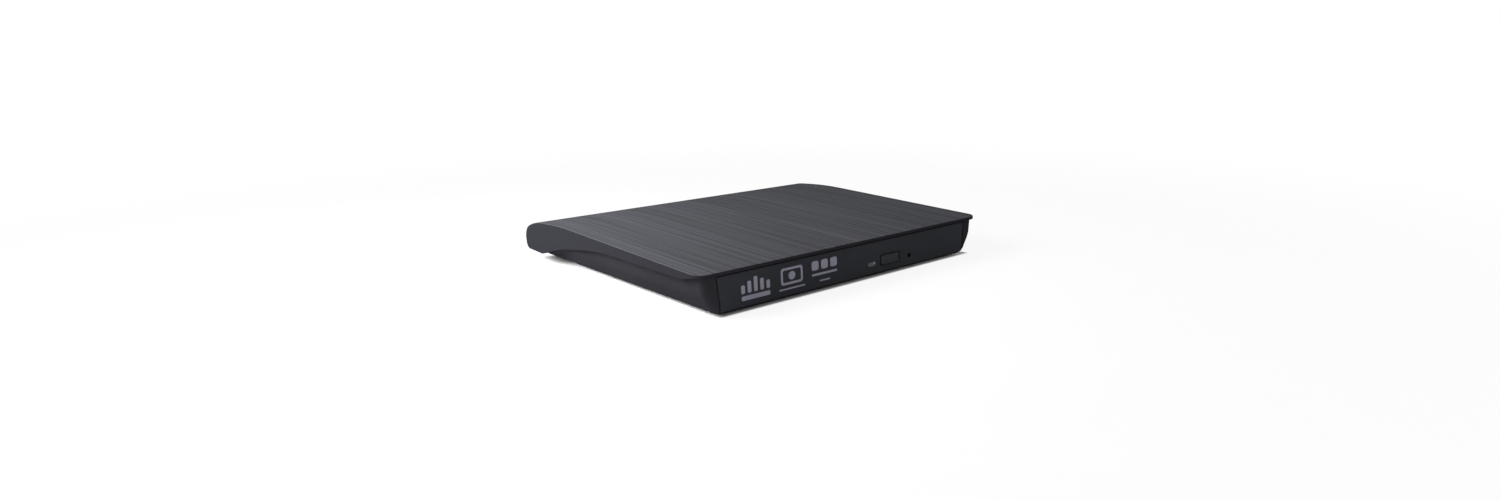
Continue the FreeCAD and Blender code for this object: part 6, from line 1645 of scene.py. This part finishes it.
@dataclass
class TrayMarks(SubAssembly):
    """Moulded marks on the deck, rivets, lip and rim on the plate, and the dark film under the well that
    paints the shade there.
    """

    deck: float = 12.6
    plate: float = 9.9
    floor: float = 9.5
    sunk: float = 0.05
    seats: tuple[tuple[float, float], ...] = ((-47.9, -47.6), (40.7, -63.2))
    seat_radius: float = 2.5
    seat_height: float = 0.13
    seat_steps: tuple[tuple[float, float], ...] = ((0.45, 0.0), (0.12, -0.07), (0.9, 0.0), (0.1, 0.05))
    clips: tuple[float, ...] = (-55.6, -36.4, -20.1, 34.6, 55.8)
    clip_y: float = -64.2
    clip_half: tuple[float, float] = (0.28, 1.2)
    clip_rise: float = 0.1
    clip_corner: float = 0.25
    rivets: tuple[Place, ...] = (
        feed_point(55.6, -18.0, 0.0), feed_point(28.7, 31.3, 0.0), feed_point(14.0, 31.5, 0.0),
        (-11.2, -59.2, 0.0), (-23.8, -54.6, 0.0))
    rivet_radius: float = 0.62
    rivet_height: float = 0.38
    rivet_sunk: float = 0.3
    rivet_dome: float = 0.14
    lip_width: float = 0.7
    lip_height: float = 0.3
    lip_corner: float = 3.0
    lip: tuple[tuple[float, float], ...] = (
        (50.4, 31.05), (40.78, 31.05), (29.78, 38.95), (0.83, 38.95), (-26.95, 17.0), (-26.95, -34.65),
        (48.0, -34.65))
    slot: tuple[float, float] = (-16.7, 7.3)
    slot_across: float = 25.8
    slot_half: float = 2.05
    slot_rim: float = 0.5
    slot_rim_z: tuple[float, float] = (-0.1, 0.14)
    well: tuple[Place, Place] = ((4.0, -12.5, 3.6), (21.8, 15.0, 3.72))
    well_corner: float = 1.5

    def seat(self, x: float, y: float) -> Shape:
        """Model one round seat with a raised rim and a raised middle.

        Args:
            x: Its middle along X.
            y: Its middle along Y.

        Returns:
            The seat.
        """
        foot = (x, y, self.deck - self.sunk)
        seat = Shape.drum("deck_seats", foot, self.seat_radius, self.seat_height, sides=40)
        seat.pick(lambda middle, way: way.z > 0.9)
        for width, depth in self.seat_steps:
            seat.inset(width, depth)
        return seat.soften(0.03, 1, SHARP_ANGLE)

    def clip(self, x: float) -> Shape:
        """Model one low clip mark.

        Args:
            x: Its middle along X.

        Returns:
            The mark.
        """
        wide, deep = self.clip_half
        clip = Shape.block("deck_clips", (x - wide, self.clip_y - deep, self.deck - self.sunk),
                           (x + wide, self.clip_y + deep, self.deck + self.clip_rise))
        clip.pick(lambda middle, way: abs(way.z) > 0.9, "EDGE").bevel(self.clip_corner, 3)
        return clip.soften(0.05, 1, SHARP_ANGLE)

    def rivet(self, x: float, y: float) -> Shape:
        """Model one low domed rivet in its dimple.

        Args:
            x: Its middle along X.
            y: Its middle along Y.

        Returns:
            The rivet.
        """
        foot = (x, y, self.plate - self.rivet_sunk)
        rivet = Shape.drum("plate_rivets", foot, self.rivet_radius, self.rivet_height, sides=20)
        return rivet.soften(self.rivet_dome, 3, SHARP_ANGLE)

    def lip_round_plate(self) -> Shape:
        """Model the tray's rounded lip along the plate's edge; it takes the plate's lighter paint as a
        painted highlight.

        Returns:
            The lip.
        """
        track = Track(self.lip, self.lip_corner)
        middle, half = self.floor + self.lip_height / 2 - self.sunk, self.lip_width / 2
        route = [(length, middle) for length in track.lengths]
        lip = Shape.strip("plate_lip", (-half, half), route, self.lip_height + self.sunk * 2)
        return lip.reshape(track.bend).lay(feed_place()).soften(0.14, 3, SHARP_ANGLE)

    def capsule(self, name: str, grow: float, low: float, high: float) -> Shape:
        """Model the long hole's form over the lead screw.

        Args:
            name: Name of the shape.
            grow: Distance that it stands out past the hole.
            low: Its foot.
            high: Its top.

        Returns:
            The capsule.
        """
        (start, end), middle, half = self.slot, self.slot_across, self.slot_half + grow
        body = Shape.block(name, (start - grow, middle - half, low), (end + grow, middle + half, high))
        return body.pick(lambda place, way: abs(way.z) > 0.9, "EDGE").bevel(half * 0.995, 8)

    def rim_round_slot(self) -> Shape:
        """Model the raised rim round the long hole.

        Returns:
            The rim.
        """
        low, high = (self.plate + z for z in self.slot_rim_z)
        rim = self.capsule("slot_rim", self.slot_rim, low, high)
        rim.cut(self.capsule("hole", 0.0, self.plate - 1, self.plate + 1))
        return rim.soften(0.05, 2, SHARP_ANGLE).lay(feed_place())

    def film(self) -> Shape:
        """Model the dark film that closes the well's inner end, painted shade there.

        Returns:
            The film.
        """
        film = Shape.block("well_film", *self.well)
        film.pick(lambda middle, way: abs(way.z) > 0.9, "EDGE").bevel(self.well_corner, 4)
        return film.lay(feed_place())

    def build(self) -> None:
        """Model and fit the marks."""
        seats = [self.seat(*place) for place in self.seats]
        self.fit(seats[0].join(*seats[1:]), Body.TRAY, Slot.TRAY, TRAY)
        clips = [self.clip(x) for x in self.clips]
        self.fit(clips[0].join(*clips[1:]), Body.TRAY, Slot.TRAY, TRAY)
        rivets = [self.rivet(x, y) for x, y, _ in self.rivets]
        self.fit(rivets[0].join(*rivets[1:]), Body.TRAY, Slot.PLATE, RIVET)
        # Painted highlight: the tray's lip takes the plate's lighter paint.
        self.fit(self.lip_round_plate(), Body.TRAY, Slot.TRAY, PLATE)
        self.fit(self.rim_round_slot(), Body.TRAY, Slot.PLATE, PLATE)
        # Painted shade: a black film at the well's inner end.
        self.fit(self.film(), Body.TRAY, Slot.BLACK, BLACK)


@dataclass
class PickupParts(SubAssembly):
    """Small parts on the pickup: dark discs of painted shade in the small holes of its shield, the cover's
    step and the lens's wires.
    """

    top: float = 8.55
    plugs: tuple[tuple[float, float], ...] = (
        (23.1, 9.0), (27.15, 8.1), (31.25, 8.7), (26.3, 10.2), (28.1, 10.0), (24.6, 7.5))
    hole_shade_radius: float = 0.4
    hole_shade_height: float = 0.1
    hole_shade_dish: tuple[float, float] = (0.12, -0.03)
    step: tuple[Place, Place] = ((33.95, -7.0, 8.05), (34.75, 6.0, 8.4))
    step_notches: tuple[float, ...] = (-5.4, -1.2, 2.2, 4.6)
    notch_half: float = 0.4
    notch_x: tuple[float, float] = (34.25, 34.95)
    notch_z: tuple[float, float] = (8.25, 9.0)
    wires: tuple[tuple[float, float], ...] = ((-2.75, 7.35), (-2.75, 7.85), (1.85, 7.35), (1.85, 7.85))
    wire_start: float = 22.6
    wire_length: float = 7.2
    wire_radius: float = 0.06
    wire_tip: tuple[float, float] = (0.02, 0.02)

    def shield_plugs(self) -> Shape:
        """Model the dark discs that paint the shade in the shield's small holes.

        Returns:
            The plugs.
        """
        foot = (0, 0, -self.hole_shade_height / 2)
        hole_shade = Shape.drum("shield_plugs", foot, self.hole_shade_radius, self.hole_shade_height, sides=16)
        hole_shade.pick(lambda middle, way: way.z > 0.9).inset(*self.hole_shade_dish)
        return hole_shade.spread([Matrix.Translation(Vector(feed_point(along, across, self.top)) * MM)
                            for along, across in self.plugs])

    def cover_step(self) -> Shape:
        """Model the notched step at the cover's outer end.

        Returns:
            The step.
        """
        step = Shape.block("cover_step", *self.step)
        (near, far), (low, high), half = self.notch_x, self.notch_z, self.notch_half
        step.cut(*[Shape.block("notch", (near, across - half, low), (far, across + half, high))
                   for across in self.step_notches])
        return step.soften(0.04, 2, SHARP_ANGLE).lay(feed_place())

    def lens_wires(self) -> Shape:
        """Model the wires that carry the lens.

        Returns:
            The wires.
        """
        wire = Shape.drum("lens_wires", (0, 0, 0), self.wire_radius, self.wire_length, sides=8)
        wire.pick(lambda middle, way: abs(way.z) > 0.9).inset(*self.wire_tip)
        along = Matrix.Rotation(math.pi / 2, 4, "Y")
        starts = [Vector((self.wire_start, across, z)) * MM for across, z in self.wires]
        return wire.spread([feed_place() @ Matrix.Translation(start) @ along for start in starts])

    def build(self) -> None:
        """Model and fit the parts."""
        # Painted shade: black discs in the places of the shield's small holes.
        self.fit(self.shield_plugs(), Body.PICKUP, Slot.BLACK, BLACK)
        self.fit(self.cover_step(), Body.PICKUP, Slot.FRAME, PICKUP_SHEET)
        self.fit(self.lens_wires(), Body.PICKUP, Slot.SOCKET, GOLD)


@dataclass(frozen=True)
class Chip:
    """One chip that has leads: its middle, its size and the sides with leads."""

    x: float
    y: float
    wide: float
    deep: float
    sides: str


@dataclass
class BoardParts(SubAssembly):
    """Leads of the chips, and the small tinned parts between them, on all three boards."""

    bridge_top: float = 6.2
    main_top: float = 4.2
    front_top: float = 5.3
    bridge_chips: tuple[Chip, ...] = (
        Chip(20.0, 64.75, 4.6, 4.6, "xy"), Chip(26.6, 64.75, 3.0, 4.0, "x"), Chip(31.5, 64.75, 3.6, 2.0, "y"))
    main_chips: tuple[Chip, ...] = (
        Chip(51.2, 39.5, 12.0, 12.0, "xy"), Chip(49.2, 29.8, 7.0, 6.0, "x"), Chip(57.2, 49.8, 4.5, 5.0, "x"),
        Chip(43.7, 49.5, 2.6, 4.0, "x"))
    near_bridge: tuple[tuple[float, float, bool], ...] = (
        (10.2, 63.0, True), (10.2, 65.2, True), (11.6, 64.2, False), (16.2, 62.0, False),
        (23.6, 62.2, True), (29.0, 62.4, False), (34.4, 66.0, False), (39.4, 63.6, True),
        (41.2, 65.6, False), (42.4, 63.0, False))
    main_rows: tuple[float, ...] = (24.2, 25.8, 54.2, 55.8)
    main_columns: int = 9
    main_start: float = 40.8
    main_step: float = 2.3
    front_row: float = -60.6
    front_places: tuple[float, ...] = (6.0, 13.0, 14.6, 23.4, 25.2)
    lead_pitch: float = 0.8
    lead_half: float = 0.14
    lead_root: float = 0.06
    lead_z: tuple[float, float] = (0.32, 0.42)
    lead_slope: tuple[float, float] = (0.12, -0.22)
    lead_foot: tuple[float, float] = (0.3, -0.06)
    chip_margin: float = 0.6
    part_half: tuple[float, float] = (0.28, 0.25)
    part_height: float = 0.4
    part_lip: float = 0.02
    part_swell: float = 1.12
    part_end: float = 0.2
    part_lift: float = 0.03

    def leads(self, name: str, chips: Sequence[Chip], top: float) -> Shape:
        """Model the leads of a board's chips.

        Args:
            name: Name of the leads.
            chips: The chips.
            top: Height of the board.

        Returns:
            The leads.
        """
        rows = [self.lead_row(name, chip, top, side, way)
                for chip in chips for side in "yx" if side in chip.sides for way in (-1, 1)]
        return rows[0].join(*rows[1:])

    def lead_row(self, name: str, chip: Chip, top: float, side: str, way: int) -> Shape:
        """Model the leads along one side of a chip.

        Args:
            name: Name of the leads.
            chip: The chip.
            top: Height of the board.
            side: x or y, the axis that the leads point along.
            way: 1 or -1 along that axis.

        Returns:
            The row.
        """
        length, reach = (chip.wide, chip.deep) if side == "y" else (chip.deep, chip.wide)
        count = int((length - self.chip_margin) / self.lead_pitch) + 1
        first, y = -self.lead_pitch * (count - 1) / 2, way * reach / 2
        (low, high), (out, down), (foot_out, foot_down) = self.lead_z, self.lead_slope, self.lead_foot
        lead = Shape.block(name, (first - self.lead_half, y - self.lead_root, low),
                           (first + self.lead_half, y + self.lead_root, high))
        lead.pick(lambda middle, facing: facing.y * way > 0.9).pull(y=way * out, z=down)
        lead.pull(y=way * foot_out, z=foot_down)
        lead.row(count, x=self.lead_pitch)
        turn = Matrix.Rotation(math.pi / 2 if side == "x" else 0.0, 4, "Z")
        return lead.lay(Matrix.Translation(Vector((chip.x, chip.y, top)) * MM) @ turn)

    def passive(self, name: str) -> Shape:
        """Model one small part with tinned ends, standing just over the origin.

        Args:
            name: Name of the part.

        Returns:
            The part.
        """
        (wide, deep), lip = self.part_half, self.part_lip
        part = Shape.block(name, (-wide, -deep, 0.0), (wide, deep, self.part_height))
        for way in (-1, 1):
            part.pick(lambda middle, facing: facing.x * way > 0.9).pull(x=way * lip)
            part.swell(self.part_swell, (way * (wide + lip), 0, self.part_height / 2))
            part.pull(x=way * self.part_end)
        part.mark(lambda middle, facing: abs(middle.x) < wide + lip / 2, 1)
        return part.lay(Matrix.Translation((0, 0, self.part_lift * MM))).soften(0.03, 1, SHARP_ANGLE)

    def scatter(self, name: str, top: float, places: Sequence[tuple[float, float, bool]]) -> Shape:
        """Copy the small part to its places.

        Args:
            name: Name of the parts.
            top: Height of the board.
            places: X, Y and whether the part lies along Y.

        Returns:
            The parts.
        """
        turns = {turned: Matrix.Rotation(math.pi / 2 if turned else 0.0, 4, "Z") for turned in (False, True)}
        return self.passive(name).spread([Matrix.Translation(Vector((x, y, top)) * MM) @ turns[turned]
                                          for x, y, turned in places])

    def build(self) -> None:
        """Model and fit the leads and small parts of each board."""
        spots = [(self.main_start + self.main_step * column, row)
                 for row in self.main_rows for column in range(self.main_columns)]
        near_main = [(x, y, i % 3 == 0) for i, (x, y) in enumerate(spots)]
        near_front = [(x, self.front_row, i % 2 == 0) for i, x in enumerate(self.front_places)]
        for name, chips, top in (("bridge_leads", self.bridge_chips, self.bridge_top),
                                 ("main_leads", self.main_chips, self.main_top)):
            self.fit(self.leads(name, chips, top), Body.CASE, Slot.SOCKET, TIN)
        for name, top, places, body, middle in (
                ("bridge_parts", self.bridge_top, self.near_bridge, Body.CASE, EPOXY),
                ("main_parts", self.main_top, near_main, Body.CASE, CREAM),
                ("front_parts", self.front_top, near_front, Body.TRAY, CREAM)):
            self.fit(self.scatter(name, top, places), body, Slot.CHIP, TIN, middle)


@dataclass
class Underside(SubAssembly):
    """Blank plate under the case, in a shallow frame, where such a drive has one."""

    plate: tuple[Place, Place] = ((-34.0, -6.0, 0.68), (34.0, 34.0, 0.82))
    corner: float = 2.0
    rim: float = 0.9
    slope: float = 0.02
    sunk: float = 0.04

    def build(self) -> None:
        """Model and fit the plate."""
        plate = Shape.block("under_plate", *self.plate)
        plate.pick(lambda middle, way: abs(way.z) > 0.9, "EDGE").bevel(self.corner, 6)
        plate.pick(lambda middle, way: way.z < -0.9).inset(self.rim).inset(self.slope, -self.sunk)
        self.fit(plate.soften(0.02, 1, SHARP_ANGLE), Body.CASE, Slot.SHELL, LABEL)


@dataclass
class Drives(SubAssembly):
    """Dark film of painted shade round the spindle motor, grip marks on the turntable and the solenoid's
    winding.
    """

    film: tuple[float, float] = (12.4, 21.2)
    film_z: tuple[float, float] = (4.68, 4.8)
    film_sides: tuple[int, int] = (48, 72)
    ticks: int = 24
    tick: tuple[Place, Place] = ((14.96, -0.22, 9.75), (15.05, 0.22, 10.45))
    core: tuple[Place, Place] = ((38.58, -58.95, 5.42), (45.42, -56.05, 10.2))
    core_corner: float = 0.6
    core_round: float = 0.12
    bore: float = 0.96
    bore_z: float = 7.2
    bore_length: float = 8.0
    bore_sides: int = 32

    def motor_film(self) -> Shape:
        """Model the dark film, painted shade, on the frame's floor round the spindle motor.

        Returns:
            The film.
        """
        (low, high), (inner, outer), (few, many) = self.film_z, self.film, self.film_sides
        ring = Shape.drum("motor_film", (*SPINDLE, low), outer, high - low, many)
        return ring.cut(Shape.drum("hole", (*SPINDLE, low - 1), inner, 2, few))

    def rotor_teeth(self) -> Shape:
        """Model the fine grip marks round the turntable's rim.

        Returns:
            The marks.
        """
        tick = Shape.block("turntable_marks", *self.tick).soften(0.03, 1, SHARP_ANGLE)
        return tick.spread([Matrix.Translation((SPINDLE[0] * MM, SPINDLE[1] * MM, 0))
                            @ Matrix.Rotation(FULL_TURN * i / self.ticks, 4, "Z") for i in range(self.ticks)])

    def winding(self) -> Shape:
        """Model the copper winding between the solenoid's cheeks, bored for its plunger.

        Returns:
            The winding.
        """
        core = Shape.block("solenoid_winding", *self.core)
        core.pick(lambda middle, way: abs(way.y) > 0.9, "EDGE").bevel(self.core_corner, 4)
        core.soften(self.core_round, 2, SHARP_ANGLE)
        low, high = self.core
        stand = Matrix.Translation(Vector(((low[0] + high[0]) / 2, (low[1] + high[1]) / 2, self.bore_z)) * MM)
        rod = Shape.drum("rod", (0, 0, -self.bore_length / 2), self.bore, self.bore_length, self.bore_sides)
        return core.cut(rod.lay(stand @ Matrix.Rotation(math.pi / 2, 4, "X")))

    def build(self) -> None:
        """Model and fit the parts."""
        self.fit(self.motor_film(), Body.TRAY, Slot.FLEX, SHADE_FILM)
        self.fit(self.rotor_teeth(), Body.SPINDLE, Slot.HUB, TURNTABLE)
        self.fit(self.winding(), Body.TRAY, Slot.ROD, COPPER)


# Studio


@dataclass(frozen=True)
class Lamp:
    """One square area lamp that faces the object: its place and side in metres, and its watts."""

    name: str
    place: Place
    size: float
    power: float

    def hang(self) -> None:
        """Add the lamp to the scene."""
        data = bpy.data.lights.new(self.name, "AREA")
        data.shape = "SQUARE"
        data.size = self.size
        data.energy = self.power
        lamp = bpy.data.objects.new(self.name, data)
        bpy.context.scene.collection.objects.link(lamp)
        lamp.location = self.place
        lamp.rotation_mode = "QUATERNION"
        lamp.rotation_quaternion = (-Vector(self.place)).to_track_quat("-Z", "Y")


@dataclass
class Studio:
    """Floor, world, lamps and the camera at the photograph's viewing angle."""

    eye: Place = (-0.2263, -0.3259, 0.0945)
    yaw: float = 45.954
    pitch: float = 13.402
    roll: float = -0.435
    focal: float = 878.2
    middle: float = 922.5
    image_width: float = 1500.0
    film: float = 36.0
    sky: Colour = (0.9, 0.93, 1.0)
    sky_strength: float = 0.13
    floor_half: float = 6000.0
    floor_depth: float = 20.0
    paper: tuple[float, float] = (0.87, 0.9)
    paper_clouds: float = 60.0
    near_floor: float = 0.9
    footprint: tuple[tuple[float, float], ...] = ((-70.4, 68.5), (-69.2, 68.5))
    fade: tuple[float, float] = (160.0, 500.0)
    lamps: tuple[Lamp, ...] = (
        Lamp("key", (-0.26, 0.08, 0.19), 0.2, 2.55),
        Lamp("rear", (0.1, 0.7, 0.8), 0.7, 0.5),
        Lamp("front", (0.15, -0.75, 0.35), 0.6, 2.1),
        Lamp("side", (0.75, 0.2, 0.07), 0.5, 3.5),
    )

    def camera(self) -> None:
        """Add the camera."""
        data = bpy.data.cameras.new("camera")
        camera = bpy.data.objects.new("camera", data)
        bpy.context.scene.collection.objects.link(camera)
        data.sensor_width = self.film
        data.lens = self.focal / self.image_width * self.film
        data.shift_x = 0.5 - self.middle / self.image_width
        data.clip_start, data.clip_end = 0.01, 50.0
        turn = Matrix.Rotation(-math.radians(self.yaw), 3, "Z")
        turn = turn @ Matrix.Rotation(math.radians(90 - self.pitch), 3, "X")
        turn = turn @ Matrix.Rotation(math.radians(self.roll), 3, "Z")
        camera.matrix_world = Matrix.Translation(self.eye) @ turn.to_4x4()
        bpy.context.scene.camera = camera

    def plain_sight(self, tree: Tree) -> Tone:
        """1 for rays that show the background: seen, mirrored or through glass.

        Args:
            tree: Tree of the floor or the world.

        Returns:
            The mask.
        """
        path = tree.node("LightPath")
        seen = Tone(tree, path.outputs["Is Camera Ray"]).most(Tone(tree, path.outputs["Is Glossy Ray"]))
        return seen.most(Tone(tree, path.outputs["Is Transmission Ray"]))

    def world(self) -> None:
        """White surroundings to look at, and a softer light from them."""
        world = bpy.data.worlds.new("studio")
        bpy.context.scene.world = world
        world.use_nodes = True
        tree = Tree(world.node_tree)
        tree.tree.nodes.clear()
        soft = tree.tone("Background", None, {0: self.sky, 1: self.sky_strength})
        white = tree.tone("Background", None, {0: WHITE, 1: 1.0})
        mix = tree.tone("MixShader", None, {0: self.plain_sight(tree), 1: soft, 2: white})
        tree.node("OutputWorld", None, {0: mix})

    def floor(self) -> None:
        """White floor that keeps a faint shadow near the object."""
        half, depth = self.floor_half, self.floor_depth
        floor = Shape.block("floor", (-half, -half, -depth), (half, half, 0)).obj
        recipe = Recipe("floor_paper")
        paper = recipe.noise(self.paper_clouds, 2.0, 0.5).between(0.3, 0.7)
        recipe.set("Base Color", paper.paint((self.paper[0],) * 3, (self.paper[1],) * 3))
        recipe.set("Roughness", 0.9)
        recipe.set("Specular IOR Level", 0.0)
        glow = recipe.tone("Emission", None, {0: WHITE, 1: 1.0})
        reach = recipe.round((0, 0, 0)).between(*self.fade, self.near_floor, 1.0)
        under = recipe.axis(0).band(*self.footprint[0], 1.0) * recipe.axis(1).band(*self.footprint[1], 1.0)
        lit = Tone(recipe, recipe.shader.outputs[0])
        white = self.plain_sight(recipe) * reach * (1 - under)
        mix = recipe.tone("MixShader", None, {0: white, 1: lit, 2: glow})
        recipe.tree.links.new(mix.socket, recipe.tree.nodes["Material Output"].inputs[0])
        floor.data.materials.append(recipe.material)

    def build(self) -> None:
        """Set up the whole studio."""
        self.camera()
        self.world()
        self.floor()
        for lamp in self.lamps:
            lamp.hang()
        bpy.context.scene.view_settings.view_transform = "Standard"
        log.info("studio is set")


def main() -> None:
    """Dress the drive and set the studio."""
    logging.basicConfig(level=logging.INFO, format="%(message)s")
    palette = Palette()
    palette.dress_nodes()
    for part in (BezelMarks, RearSocket, Screws, FeedScrew, TrayCable, PickupPrint, TrayMarks, PickupParts,
                 BoardParts, Drives, Underside):
        part(palette).build()
    Studio().build()


if __name__ == "__main__":
    main()
